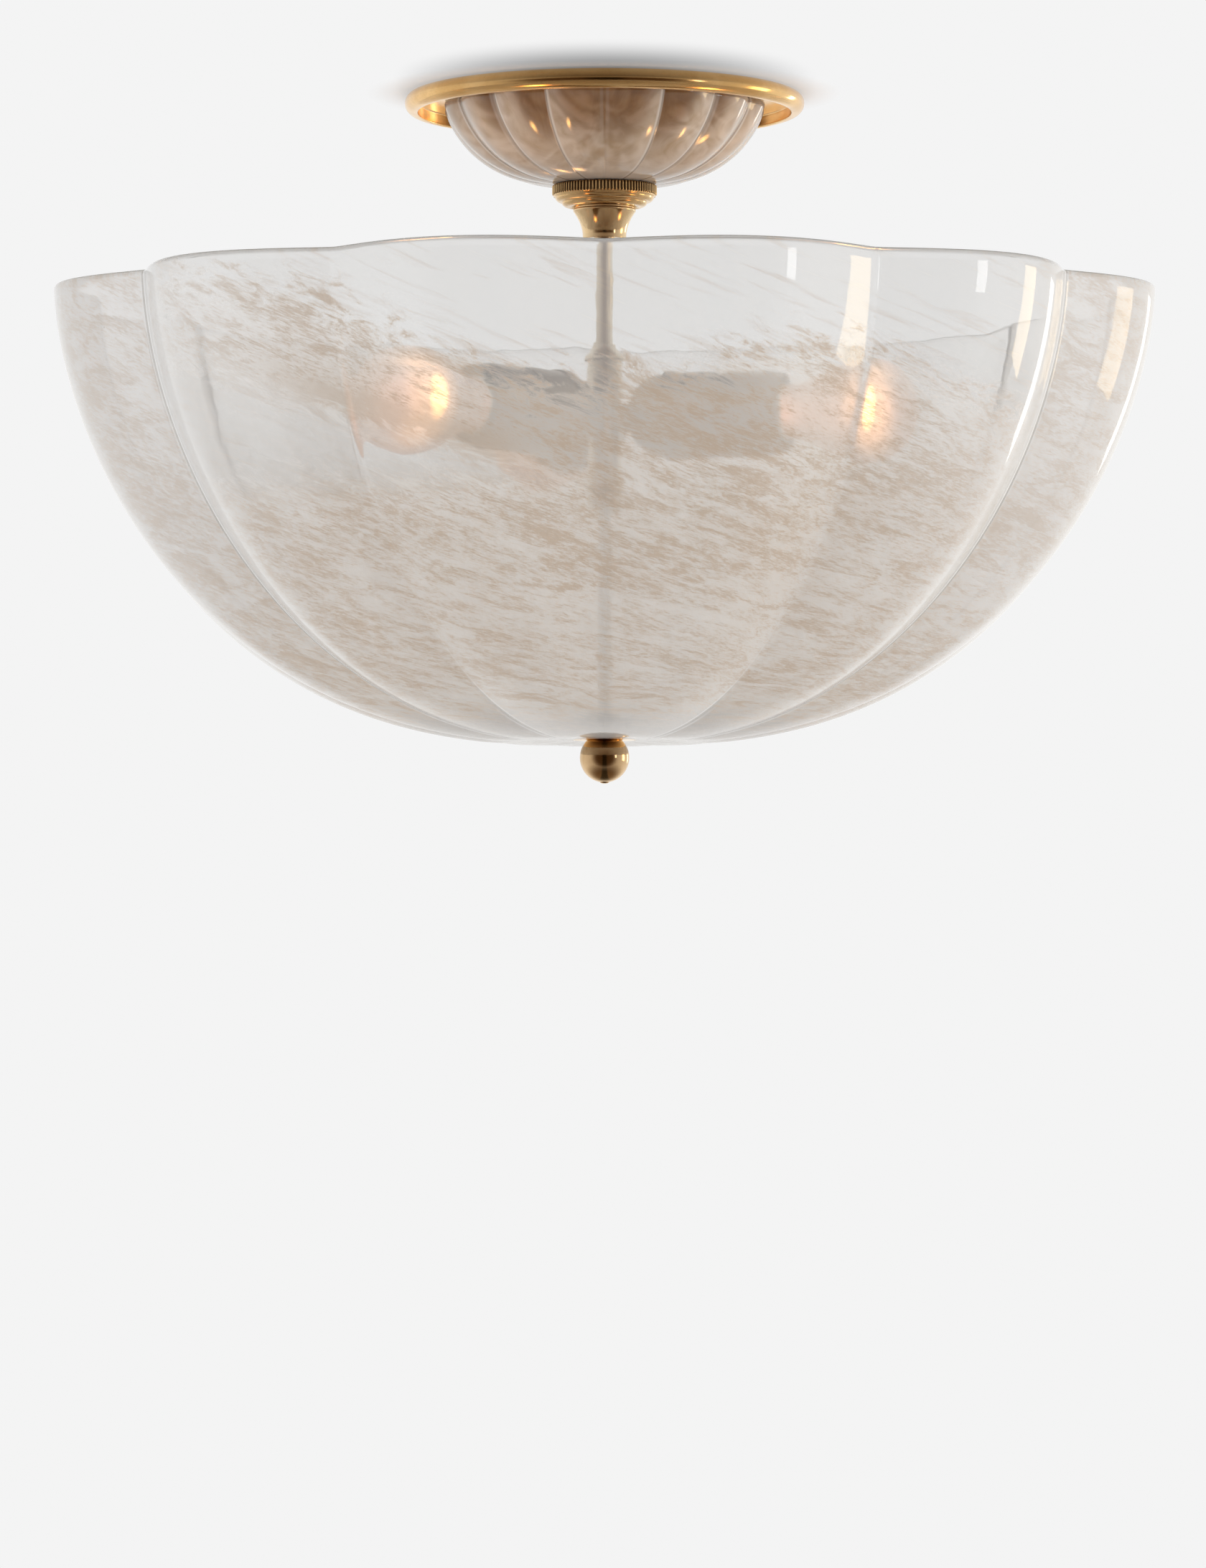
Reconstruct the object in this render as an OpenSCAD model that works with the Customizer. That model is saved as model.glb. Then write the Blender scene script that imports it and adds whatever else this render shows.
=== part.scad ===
// Semi-flush ceiling light: a fluted glass dome under a brass ceiling pan, a short brass stem,
// a three-socket cluster and a large lobed glass bowl held by a washer and a ball finial.
// Millimetres, +Z up. The origin is the centre of the ceiling plane, so everything hangs below z = 0.

/* [Canopy pan] */
// Outside diameter of the brass pan at its rolled rim
pan_dia = 182.4; // [176:0.2:200]
// Depth of the rolled rim below the ceiling
rim_depth = 8.9; // [8.2:0.1:11]
// Thickness of the spun sheet
sheet = 1.0; // [0.8:0.1:1.2]

/* [Dome glass] */
// Outside diameter of the dome over its flutes
dome_dia = 149.7; // [144:0.2:152]
// Height of the full curve of the dome
dome_height = 38.5; // [36:0.1:46]
// Number of flutes around the dome
dome_flutes = 16; // [12, 16, 20]
// Depth of a crease as a share of the radius
dome_relief = 0.045; // [0.02:0.005:0.06]
// Thickness of the dome glass
dome_wall = 3.5; // [3:0.1:4.5]

/* [Ring and neck] */
// Diameter over the ridges of the knurled ring
ring_dia = 47.8; // [46:0.2:54]
// Number of ridges around the ring
ring_ridges = 96; // [72:6:108]
// Diameter of the thread that the ring turns on
collar_dia = 30.0; // [29:0.2:32]
// Diameter of the band at the top of the neck, which the ring slides over
neck_top_dia = 28.6; // [26:0.2:28.8]
// Diameter of the foot of the neck
neck_foot_dia = 20.0; // [16:0.2:24]

/* [Stem and hub] */
// Outside diameter of the stem tube and of the nipples
pipe_dia = 9.6; // [9.4:0.1:10]
// Wire way through stem and nipples
pipe_bore = 6.4; // [6.2:0.1:7]
// Distance from the ceiling down to the middle of the sockets
socket_drop = 148; // [146:1:160]
// Outside diameter of the hub tube
hub_dia = 17.0; // [16.6:0.2:18]
// Diameter of the lower rod
rod_dia = 6.35; // [6:0.05:7]

/* [Sockets and bulbs] */
// Widest diameter of a socket shell
socket_dia = 39.0; // [38.6:0.2:42]
// Distance from the stem axis to the mouth of a socket
socket_reach = 86; // [84:1:90]
// Diameter of a bulb's screw base
base_dia = 26.3; // [26:0.1:26.6]
// Widest diameter of a bulb
bulb_dia = 48; // [40:1:56]
// Length of a bulb from eyelet to tip
bulb_length = 86; // [80:1:96]

/* [Bowl] */
// Outside diameter of the bowl over its lobes
bowl_dia = 508; // [460:2:540]
// Distance from the ceiling down to the rim of the bowl
rim_drop = 93.3; // [88:0.1:102]
// Depth of the full curve of the bowl
bowl_depth = 204.6; // [192:0.2:224]
// Number of lobes around the bowl
bowl_lobes = 12; // [8, 10, 12]
// Depth of a crease at the rim as a share of the radius
bowl_relief = 0.075; // [0.04:0.005:0.09]
// Thickness of the bowl glass
bowl_wall = 4.0; // [3.2:0.1:5]

/* [Finial] */
// Diameter of the ball
ball_dia = 22.6; // [20:0.2:26]
// Diameter of the washer under the bowl
washer_dia = 31.6; // [29:0.2:34]

/* [Hidden] */
$fn = 96;
eps = 0.01;                 // overlap that makes a cut pass clean through
run_gap = 0.05;             // radial clearance of threads and other running fits
free_gap = 0.3;             // gap between faces that pass without touching
brass = [0.72, 0.56, 0.33];
steel = [0.70, 0.70, 0.70];
rubber = [0.12, 0.12, 0.12];
taupe = [0.70, 0.64, 0.57];
clear = [0.80, 0.78, 0.74];

SOCKETS = [-15, 105, 225];  // directions of the three sockets, in degrees from +X
function each_of(name) = [for (i = [1 : len(SOCKETS)]) str(name, "_", i)];

// Heights, from the ceiling down

bar_thick = 2;
bar_length = 114;
bar_width = 22;
bar_end = 4;                // rounded part of each end
bar_end_r = 13;
boss_r = 7.4;               // tapped boss in the middle of the crossbar
ground_at = [22, 5];        // where the ground screw stands
ground_dia = 4;
slot_spacing = 88.9;        // the screw spacing of a round ceiling box
slot_width = 5;
slot_length = 12;
boss_drop = 4;              // foot of that boss
nut_thick = 3.4;
nut_flats = 14;
well_floor = boss_drop + nut_thick + 0.6;          // top of the pan's centre floor
plate_z = -(rim_depth * 0.4);                      // underside of the flat that the dome meets
gasket_thick = 0.8;
gasket_r = dome_dia / 2 - dome_wall - 4.6;         // inner radius of the dome's rim gasket
well_r = gasket_r - 3.75 - sheet;                  // inner radius of the pan's well, inside that gasket
dome_rim_z = plate_z - gasket_thick;
dome_zero = dome_rim_z + 0.9;                      // where the dome's full curve would start
dome_foot_z = dome_zero - dome_height + 0.45;      // flat foot of the dome
ring_seat_z = dome_foot_z - gasket_thick;
ring_top_z = dome_foot_z - free_gap;
ring_height = 9.9;
ring_foot_z = ring_top_z - ring_height;
collar_top_z = ring_seat_z - 0.9;
neck_band_z = ring_foot_z + 1.4;                   // top of the neck's band, just inside the ring
band_drop = 2.2;                                   // foot of that band under the ring
neck_drop = 14.6;                                  // foot of the neck under the ring
web = 2;                                           // wall between the nipple and the stem
neck_flare_z = ring_foot_z - band_drop;
neck_foot_z = ring_foot_z - neck_drop;
nipple_end_z = neck_flare_z - web;                 // the nipple stops here, on the neck's web
stem_top_z = nipple_end_z - web;                   // the stem starts under the web
cup_rise = 34;                                     // top of the hub's cup over the sockets
cup_height = 8.5;
stem_bite = 5;                                     // length of the stem inside the cup
hub_drop = 42;                                     // foot of the hub under the sockets
cup_top_z = -socket_drop + cup_rise;
stem_foot_z = cup_top_z - stem_bite;
hub_top_z = cup_top_z - cup_height;
hub_foot_z = -socket_drop - hub_drop;
rim_z = -rim_drop;
bowl_seat_z = rim_z - bowl_depth + 5.0;            // flat under the bowl that the washer meets
bowl_inner_seat_z = bowl_seat_z + bowl_wall;
washer_top_z = bowl_seat_z - 0.7;
washer_thick = 1.7;
ball_top_z = washer_top_z - washer_thick;
ball_flat = 8.0;                                   // radius of the ball's flat top
ball_z = ball_top_z - sqrt(pow(ball_dia / 2, 2) - pow(ball_flat, 2));
finial_thread = 9.4;                               // length of rod inside the ball
rod_end_z = ball_top_z - finial_thread;

// Shared shapes

// A closed sheet round the Z axis: each row is one ring of points, the last joins the first.
module ring_mesh(rows) {
  m = len(rows);
  n = len(rows[0]);
  pts = [for (row = rows) each row];
  faces = [for (i = [0 : m - 1]) for (j = [0 : n - 1])
    let (a = i * n + j,
         b = i * n + (j + 1) % n,
         c = ((i + 1) % m) * n + (j + 1) % n,
         d = ((i + 1) % m) * n + j)
    each [[a, b, c], [a, c, d]]];
  polyhedron(points = pts, faces = faces, convexity = 6);
}

// 0 at a crease, 1 at the middle of a lobe
function lobe(angle, count, sharp) = pow(abs(sin(count / 2 * angle)), sharp);

// Smooth step from 0 at a to 1 at b
function ease(x, a, b) =
  let (t = min(1, max(0, (x - a) / (b - a)))) t * t * (3 - 2 * t);

// Hexagonal nut hanging from z = 0
module hex_nut(flats, thick, hole) {
  translate([0, 0, -thick])
    difference() {
      cylinder(d = flats / cos(30), h = thick, $fn = 6);
      translate([0, 0, -eps]) cylinder(d = hole, h = thick + 2 * eps);
    }
}

// Flat ring hanging from z = 0
module flat_ring(outer_r, inner_r, thick) {
  translate([0, 0, -thick])
    difference() {
      cylinder(r = outer_r, h = thick);
      translate([0, 0, -eps]) cylinder(r = inner_r, h = thick + 2 * eps);
    }
}

// Tube standing on z = 0
module tube(outer_r, inner_r, length) {
  difference() {
    cylinder(r = outer_r, h = length);
    translate([0, 0, -eps]) cylinder(r = inner_r, h = length + 2 * eps);
  }
}

// Places children on socket i: local Z points out along the socket, 0 is the stem axis
module at_socket(i) {
  rotate([0, 0, SOCKETS[i]])
    translate([0, 0, -socket_drop])
      rotate([0, 90, 0])
        children();
}

// Ceiling fixing and canopy

module mounting_crossbar() {
  color(steel)
    difference() {
      union() {
        translate([-bar_length / 2 + bar_end, -bar_width / 2, -bar_thick])
          cube([bar_length - 2 * bar_end, bar_width, bar_thick]);
        for (side = [-1, 1])
          translate([side * (bar_length / 2 - bar_end), 0, -bar_thick])
            intersection() {
              translate([-bar_end, -bar_width / 2, 0]) cube([2 * bar_end, bar_width, bar_thick]);
              translate([side * (bar_end - bar_end_r), 0, 0]) cylinder(r = bar_end_r, h = bar_thick);
            }
        translate([0, 0, -boss_drop]) cylinder(r = boss_r, h = boss_drop);
      }
      translate([0, 0, -boss_drop - eps])
        cylinder(d = pipe_dia, h = boss_drop + 2 * eps);
      for (side = [-1, 1])
        translate([side * slot_spacing / 2, 0, -bar_thick - eps])
          union() {
            for (end = [-1, 1])
              translate([end * (slot_length - slot_width) / 2, 0, 0])
                cylinder(d = slot_width, h = bar_thick + 2 * eps);
            translate([-(slot_length - slot_width) / 2, -slot_width / 2, 0])
              cube([slot_length - slot_width, slot_width, bar_thick + 2 * eps]);
          }
      translate([ground_at[0], ground_at[1], -bar_thick - eps])
        cylinder(d = ground_dia, h = bar_thick + 2 * eps);
    }
}

module ground_screw() {
  head = 2.2;               // height of the screw's head
  head_dia = 7.6;
  slot = 1;
  color([0.20, 0.45, 0.28])
    translate([ground_at[0], ground_at[1], 0])
      difference() {
        union() {
          translate([0, 0, -bar_thick]) cylinder(d = ground_dia, h = bar_thick);
          translate([0, 0, -bar_thick - head]) cylinder(d1 = head_dia - slot, d2 = head_dia, h = head);
        }
        translate([-head_dia, -slot / 2, -bar_thick - head - eps]) cube([2 * head_dia, slot, 0.4 * head]);
      }
}

module crossbar_lock_nut() {
  color(steel) translate([0, 0, -boss_drop]) hex_nut(nut_flats, nut_thick, pipe_dia);
}

module mounting_nipple() {
  color(steel)
    translate([0, 0, nipple_end_z]) tube(pipe_dia / 2, pipe_bore / 2, -nipple_end_z);
}

module canopy_pan() {
  tube_r = rim_depth / 2;
  mid_r = pan_dia / 2 - tube_r;
  wall_r = mid_r - 0.5;     // outer face of the upright wall inside the rim
  color(brass)
    rotate_extrude() {
      // rolled rim: the outer half of a tube
      difference() {
        translate([mid_r, -tube_r]) circle(r = tube_r);
        translate([mid_r, -tube_r]) circle(r = tube_r - sheet);
        translate([mid_r - rim_depth, -rim_depth - eps])
          square([rim_depth, rim_depth + 2 * eps]);
      }
      // upright inner face of the rim
      translate([wall_r - sheet, -rim_depth]) square([mid_r - wall_r + sheet + eps, sheet]);
      translate([wall_r - sheet, -rim_depth]) square([sheet, rim_depth + plate_z + sheet]);
      // flat that the dome closes against
      translate([well_r, plate_z]) square([wall_r - well_r, sheet]);
      // well that clears the crossbar
      translate([well_r, -well_floor - sheet]) square([sheet, well_floor + sheet + plate_z + sheet]);
      translate([pipe_dia / 2 + 0.2, -well_floor - sheet])
        square([well_r - pipe_dia / 2 - 0.2 + eps, sheet]);
    }
}

module canopy_pan_nut() {
  color(steel)
    translate([0, 0, -well_floor - sheet]) hex_nut(nut_flats + 2, nut_thick, pipe_dia);
}

module dome_rim_gasket() {
  color(rubber)
    translate([0, 0, plate_z])
      flat_ring(gasket_r + dome_wall + 1.4, gasket_r, gasket_thick);
}

// Radius of the dome's smooth curve at angle t of its quarter turn, and its depth share
function dome_r(t) = pow(cos(t), 2 / 3.319);
function dome_s(t) = pow(sin(t), 2 / 1.408);

// One ring of the dome's outer (inset 0) or inner skin
function dome_row(t, inset) =
  [for (j = [0 : dome_steps - 1])
    let (a = 360 * j / dome_steps,
         r0 = (dome_dia / 2 - inset) * dome_r(t),
         rr = r0 * (1 - dome_relief * (1 - lobe(a, dome_flutes, 1)) * ease(r0, 17, 26)),
         z0 = dome_zero - (dome_height - inset) * dome_s(t))
    [rr * cos(a), rr * sin(a), min(dome_rim_z, max(z0, dome_foot_z + inset))]];

// One plain ring, kept at a share of the fluted rim
function dome_edge(shrink, z) =
  [for (p = dome_row(dome_start, 0))
    let (r = norm([p[0], p[1]])) [p[0] * (r - shrink) / r, p[1] * (r - shrink) / r, z]];

function round_row(r, z, n) = [for (j = [0 : n - 1]) [r * cos(360 * j / n), r * sin(360 * j / n), z]];

dome_steps = 8 * dome_flutes;
dome_start = 6;
dome_hole_r = collar_dia / 2 + 1.1;

module dome_glass() {
  outer = [for (t = [dome_start + 4, 22, 34, 45, 55, 64, 72, 79, 84]) dome_row(t, 0)];
  inner = [for (t = [83, 76, 68, 58, 47, 35, 22]) dome_row(t, dome_wall)];
  rows = concat(
    [dome_edge(dome_wall - 0.6, dome_rim_z), dome_edge(0.9, dome_rim_z), dome_edge(0.1, dome_rim_z - 0.8)],
    outer,
    [round_row(dome_hole_r, dome_foot_z, dome_steps),
     round_row(dome_hole_r, dome_foot_z + dome_wall, dome_steps)],
    inner);
  color(taupe) ring_mesh(rows);
}

// Ring, neck and stem

module ring_gasket() {
  color(rubber)
    translate([0, 0, dome_foot_z])
      flat_ring(ring_dia / 2 - 3.2, dome_hole_r + 0.2, gasket_thick);
}

// Quarter-round moulding from (r0, z0) out to (r1, z1)
function ovolo(r0, z0, r1, z1, n) =
  [for (i = [0 : n]) let (t = 90 * i / n) [r0 + (r1 - r0) * sin(t), z0 + (z1 - z0) * (1 - cos(t))]];

module knurled_ring() {
  r = ring_dia / 2;
  bore = collar_dia / 2 + run_gap;
  band = 4.6;
  ridge = 0.55;
  band_foot = ring_top_z - band;
  color(brass)
    difference() {
      union() {
        // ridged grip band
        translate([0, 0, band_foot])
          linear_extrude(height = band)
            polygon([for (i = [0 : 2 * ring_ridges - 1])
              let (a = 180 * i / ring_ridges, q = r - ridge * (i % 2))
              [q * cos(a), q * sin(a)]]);
        // two mouldings under the band
        rotate_extrude()
          polygon(concat(
            [[bore - 1, band_foot + 1], [bore - 1, ring_foot_z], [bore + 1.2, ring_foot_z]],
            ovolo(bore + 1.4, ring_foot_z, r - 4.4, ring_foot_z + 2.1, 8),
            [[r - 4.2, ring_foot_z + 2.3]],
            ovolo(r - 3.9, ring_foot_z + 2.3, r - 1.4, ring_foot_z + 4.5, 8),
            [[r - 0.5, ring_foot_z + 4.7], [r - 0.4, band_foot + 0.2], [r - 0.9, band_foot + 1]]));
      }
      translate([0, 0, ring_foot_z - 1]) cylinder(r = bore, h = ring_height + 2);
      translate([0, 0, ring_seat_z]) cylinder(r = r - 2.9, h = 2);
    }
}

// Radius of the neck's flare at height z
function neck_r(z) =
  let (top = neck_top_dia / 2 - 0.2, foot = neck_foot_dia / 2,
       u = min(1, max(0, (neck_flare_z - z) / (neck_flare_z - neck_foot_z - 1.4))))
  foot + (top - foot) * pow(1 - u, 1.9);

module flared_neck() {
  steps = 14;
  top_r = neck_top_dia / 2;
  color(brass)
    difference() {
      rotate_extrude()
        polygon(concat(
          [[0, collar_top_z], [collar_dia / 2 - 0.6, collar_top_z],
           [collar_dia / 2, collar_top_z - 0.6], [collar_dia / 2, neck_band_z],
           [top_r - 0.3, neck_band_z], [top_r - 0.3, neck_flare_z + 1.2],
           [top_r, neck_flare_z + 0.9], [top_r, neck_flare_z + 0.2]],
          [for (i = [0 : steps])
            let (z = neck_flare_z + (neck_foot_z - neck_flare_z) * i / steps) [neck_r(z), z]],
          [[0, neck_foot_z]]));
      translate([0, 0, nipple_end_z]) cylinder(d = pipe_dia, h = collar_top_z - nipple_end_z + eps);
      translate([0, 0, neck_foot_z - eps]) cylinder(d = pipe_dia, h = stem_top_z - neck_foot_z + eps);
      translate([0, 0, stem_top_z - eps]) cylinder(d = pipe_bore, h = nipple_end_z - stem_top_z + 2 * eps);
    }
}

module stem_tube() {
  color(brass)
    translate([0, 0, stem_foot_z]) tube(pipe_dia / 2, pipe_bore / 2, stem_top_z - stem_foot_z);
}

// Hub and rod

hub_r = hub_dia / 2;
hub_bore_r = hub_r - 1.5;

module hub_cup() {
  color(brass)
    difference() {
      rotate_extrude()
        polygon([[0, cup_top_z], [pipe_dia / 2 + 0.9, cup_top_z], [pipe_dia / 2 + 1.2, cup_top_z - 1.5],
                 [hub_r - 1.4, cup_top_z - 3.4], [hub_r + 1.2, cup_top_z - 6.2],
                 [hub_r + 1.6, cup_top_z - 7.2], [hub_r + 1.6, hub_top_z], [0, hub_top_z]]);
      translate([0, 0, stem_foot_z]) cylinder(d = pipe_dia, h = cup_top_z - stem_foot_z + eps);
      translate([0, 0, hub_top_z - eps]) cylinder(d = pipe_bore, h = stem_foot_z - hub_top_z + 2 * eps);
    }
}

module socket_hub() {
  color(brass)
    difference() {
      translate([0, 0, hub_foot_z]) tube(hub_r, hub_bore_r, hub_top_z - hub_foot_z);
      for (i = [0 : len(SOCKETS) - 1])
        at_socket(i) cylinder(d = pipe_dia, h = hub_r + 2);
    }
}

plug_depth = 8;                   // length of the plug inside the hub
plug_lip = 3;                     // bevelled lip that closes the hub's foot
rod_bite = 5;                     // length of the rod's thread in the plug

module hub_plug() {
  color(brass)
    difference() {
      union() {
        translate([0, 0, hub_foot_z]) cylinder(r = hub_bore_r, h = plug_depth);
        translate([0, 0, hub_foot_z - plug_lip]) cylinder(r1 = hub_r - 2.4, r2 = hub_r, h = plug_lip);
      }
      translate([0, 0, hub_foot_z - plug_lip - eps]) cylinder(d = rod_dia, h = plug_lip + rod_bite + eps);
    }
}

module lower_rod() {
  color(steel)
    translate([0, 0, rod_end_z]) cylinder(d = rod_dia, h = hub_foot_z + rod_bite - rod_end_z);
}

module bowl_stop_nut() {
  thick = 5;
  color(brass)
    translate([0, 0, bowl_inner_seat_z + gasket_thick + thick]) hex_nut(nut_flats, thick, rod_dia);
}

// Sockets

socket_r = socket_dia / 2;
cap_start = hub_r + 1.6;          // the cap's neck starts just off the hub
cap_end = 33;                     // joint between cap and shell
cap_overlap = 4;                  // how far the moulded body sits from the joint, both ways
seat_depth = 26;                  // from the mouth in to the face where the bulb bottoms
mouth_length = 10;                // rolled-in part of the shell at its mouth
liner_short = 12;                 // how far the liner stops short of the mouth
body_start = cap_end + cap_overlap;
body_end = socket_reach - seat_depth;
screw_r = base_dia / 2 + run_gap;
screw_wall = 0.5;
liner_r = socket_r - 1.2;

module arm_nipple(i) {
  color(steel)
    at_socket(i)
      translate([0, 0, hub_bore_r]) tube(pipe_dia / 2, pipe_bore / 2, cap_start + 6 - hub_bore_r);
}

bead = 0.5;                       // height of the bead where cap and shell meet
bead_z = cap_end - 2;             // where the cap's belly ends
cap_throat = pipe_dia / 2 + 1.6;  // radius of the cap's neck

// Point of the cap's belly at angle t, from radius r0 near z0 out to radius r1
function belly(t, r0, z0, r1) = [r0 + (r1 - r0) * sin(t), bead_z - (bead_z - z0) * cos(t)];

module socket_cap(i) {
  color(brass)
    at_socket(i)
      difference() {
        rotate_extrude()
          polygon(concat(
            [[0, cap_start], [cap_throat, cap_start], [cap_throat, cap_start + 4.5]],
            [for (t = [0 : 10 : 80]) belly(t, cap_throat + 1.6, cap_start + 5, socket_r - 0.9)],
            [[socket_r - 0.9, bead_z - 0.6], [socket_r + bead, bead_z - 0.2],
             [socket_r + bead, cap_end], [0, cap_end]]));
        // hollow of the cap
        rotate_extrude()
          polygon(concat(
            [[0, cap_start + 6], [cap_throat + 0.8, cap_start + 6]],
            [for (t = [10 : 10 : 80]) belly(t, cap_throat + 0.8, cap_start + 6, socket_r - 1.9)],
            [[socket_r - 1.9, cap_end + 1], [0, cap_end + 1]]));
        cylinder(d = pipe_dia, h = cap_end);
      }
}

module socket_shell(i) {
  wall = 0.8;
  color(brass)
    at_socket(i)
      rotate_extrude()
        polygon([
          [socket_r - wall, cap_end], [socket_r + bead, cap_end], [socket_r + bead, cap_end + 1.6],
          [socket_r, cap_end + 2.2], [socket_r, cap_end + 22], [socket_r - 0.6, cap_end + 23],
          [socket_r, cap_end + 24], [socket_r, socket_reach - mouth_length + 1],
          [socket_r - 1.6, socket_reach - 1.4],
          [socket_r - 1.4, socket_reach - 0.7], [socket_r - 1.8, socket_reach],
          [socket_r - 2.6, socket_reach - 0.4], [socket_r - 2.6, socket_reach - 1.6],
          [socket_r - wall - 0.1, socket_reach - mouth_length + 0.8],
          [socket_r - wall, socket_reach - mouth_length]]);
}

module socket_liner(i) {
  color([0.74, 0.62, 0.45])
    at_socket(i)
      translate([0, 0, cap_end + 1])
        tube(liner_r, liner_r - 0.6, socket_reach - liner_short - cap_end);
}

module socket_body(i) {
  body_r = liner_r - 0.8;
  spigot_r = body_r - 5;
  wire_way = 3;
  way_end = body_start + cap_overlap;
  flat_width = 4;
  flat_inset = 1.5;
  color([0.16, 0.13, 0.11])
    at_socket(i)
      difference() {
        union() {
          translate([0, 0, body_start]) cylinder(r = body_r, h = body_end - body_start);
          translate([0, 0, cap_end - cap_overlap]) cylinder(r = spigot_r, h = 2 * cap_overlap + 1);
        }
        // wire way to the terminals
        for (side = [-1, 1])
          translate([0, side * wire_way, cap_end - cap_overlap - 1])
            cylinder(d = wire_way, h = way_end - cap_end + cap_overlap);
        // flats for the terminal screws
        for (side = [-1, 1])
          translate([-body_r, side * (body_r - flat_inset) - flat_width / 2, way_end])
            cube([2 * body_r, flat_width, body_end - way_end - flat_width - 1]);
      }
}

module socket_screw_shell(i) {
  color([0.80, 0.78, 0.72])
    at_socket(i)
      difference() {
        translate([0, 0, body_end]) cylinder(r = screw_r + screw_wall, h = 23);
        translate([0, 0, body_end + screw_wall]) cylinder(r = screw_r, h = 23);
        translate([0, 0, body_end - 1]) cylinder(r = 6.4, h = 4);
      }
}

module socket_contact(i) {
  color(brass)
    at_socket(i)
      translate([0, 0, body_end]) cylinder(r = 4.2, h = 1);
}

// Bulbs

bulb_foot = body_end + 1;         // the eyelet rests on the centre contact
base_start = bulb_foot + 3.4;
base_end = bulb_foot + 25;
base_wall = 0.4;
bulb_r = bulb_dia / 2;

module bulb_eyelet(i) {
  color([0.10, 0.10, 0.11])
    at_socket(i)
      translate([0, 0, bulb_foot])
        union() {
          cylinder(r1 = 3, r2 = 4, h = 1.1);
          translate([0, 0, 1.1]) cylinder(r1 = 4.6, r2 = base_dia / 2 - 3.2, h = 2.3);
        }
}

// Thin metal cup, open to the glass and holed for the insulator
module bulb_base(i) {
  r = base_dia / 2;
  hole = 5;
  color([0.82, 0.80, 0.74])
    at_socket(i)
      rotate_extrude()
        polygon([[hole, base_start], [r - 2.6, base_start], [r, base_start + 2.6], [r, base_end - 1],
                 [r - 0.3, base_end], [r - base_wall, base_end], [r - base_wall, base_start + 2.8],
                 [r - 2.8, base_start + base_wall], [hole, base_start + base_wall]]);
}

// Radius of the bulb's glass at distance u from the eyelet, pared by an inset
function bulb_radius(u, inset) =
  let (centre = bulb_length - bulb_r, neck = base_dia / 2 - base_wall)
  neck + (bulb_r - neck) * pow(sin(90 * max(0, (u - 28) / (centre - 28))), 1.6) - inset;

// Blown envelope whose neck is cemented into the base
module bulb_glass(i) {
  wall = 0.8;
  first = base_start - bulb_foot + 8;
  centre = bulb_length - bulb_r;
  steps = [for (k = [0 : 16]) first + (centre - first) * k / 16];
  color([1.0, 0.86, 0.62])
    at_socket(i)
      translate([0, 0, bulb_foot])
        rotate_extrude()
          polygon(concat(
            [for (u = steps) [bulb_radius(u, 0), u]],
            [for (t = [7.5 : 7.5 : 90]) [bulb_r * cos(t), centre + bulb_r * sin(t)]],
            [for (t = [90 : -7.5 : 7.5]) [(bulb_r - wall) * cos(t), centre + (bulb_r - wall) * sin(t)]],
            [for (k = [16 : -1 : 0]) [bulb_radius(steps[k], wall), steps[k]]]));
}

// Leads

lead_r = 0.8;

lead_offset = 1.9;          // distance of each lead from the stem's axis
splice_r = 1.0;             // splice where the lead branches to the three sockets

// One lead: down the stem, then out through each arm nipple to its socket body
module lead(side, sheath) {
  turn_z = -socket_drop + side * 1.4;
  color(sheath)
    union() {
      rotate([0, 0, SOCKETS[0]])
        translate([side * lead_offset, 0, turn_z]) {
          cylinder(r = lead_r, h = -turn_z);
          sphere(r = splice_r);
          // the lead on the far side of the first socket reaches back to the splice
          if (side < 0)
            rotate([0, 90, 0]) cylinder(r = lead_r, h = lead_offset);
        }
      for (i = [0 : len(SOCKETS) - 1])
        rotate([0, 0, SOCKETS[i]])
          translate([0, 0, turn_z])
            rotate([0, 90, 0])
              cylinder(r = lead_r, h = cap_end - 5);
      translate([0, 0, turn_z]) sphere(r = splice_r);
    }
}

module live_lead() { lead(1, [0.10, 0.10, 0.10]); }
module neutral_lead() { lead(-1, [0.90, 0.90, 0.88]); }

// Bowl and finial

bowl_steps = 10 * bowl_lobes;
bowl_hole_r = 7;
seat_r = washer_dia / 2 + 0.7;
dimple_r = 67;

// Radius and depth shares of the bowl's curve at angle t of its quarter turn
function bowl_r(t) = pow(cos(t), 2 / 2.604);
function bowl_s(t) = pow(sin(t), 2 / 1.689);

// One ring of the bowl's outer (inset 0) or inner skin
function bowl_row(t, inset) =
  let (r0 = (bowl_dia / 2 - inset) * bowl_r(t),
       s = bowl_s(t),
       crease = bowl_relief + 0.055 * pow(s, 3),
       z0 = rim_z - (bowl_depth - inset) * s,
       z = bowl_seat_z + inset + (z0 - bowl_seat_z - inset) * ease(r0, seat_r, dimple_r),
       fade = ease(r0, seat_r - 2, seat_r + 14))
  [for (j = [0 : bowl_steps - 1])
    let (a = 360 * j / bowl_steps,
         rr = r0 * (1 - crease * fade * (1 - lobe(a, bowl_lobes, 1.17))))
    [rr * cos(a), rr * sin(a), z]];

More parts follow.
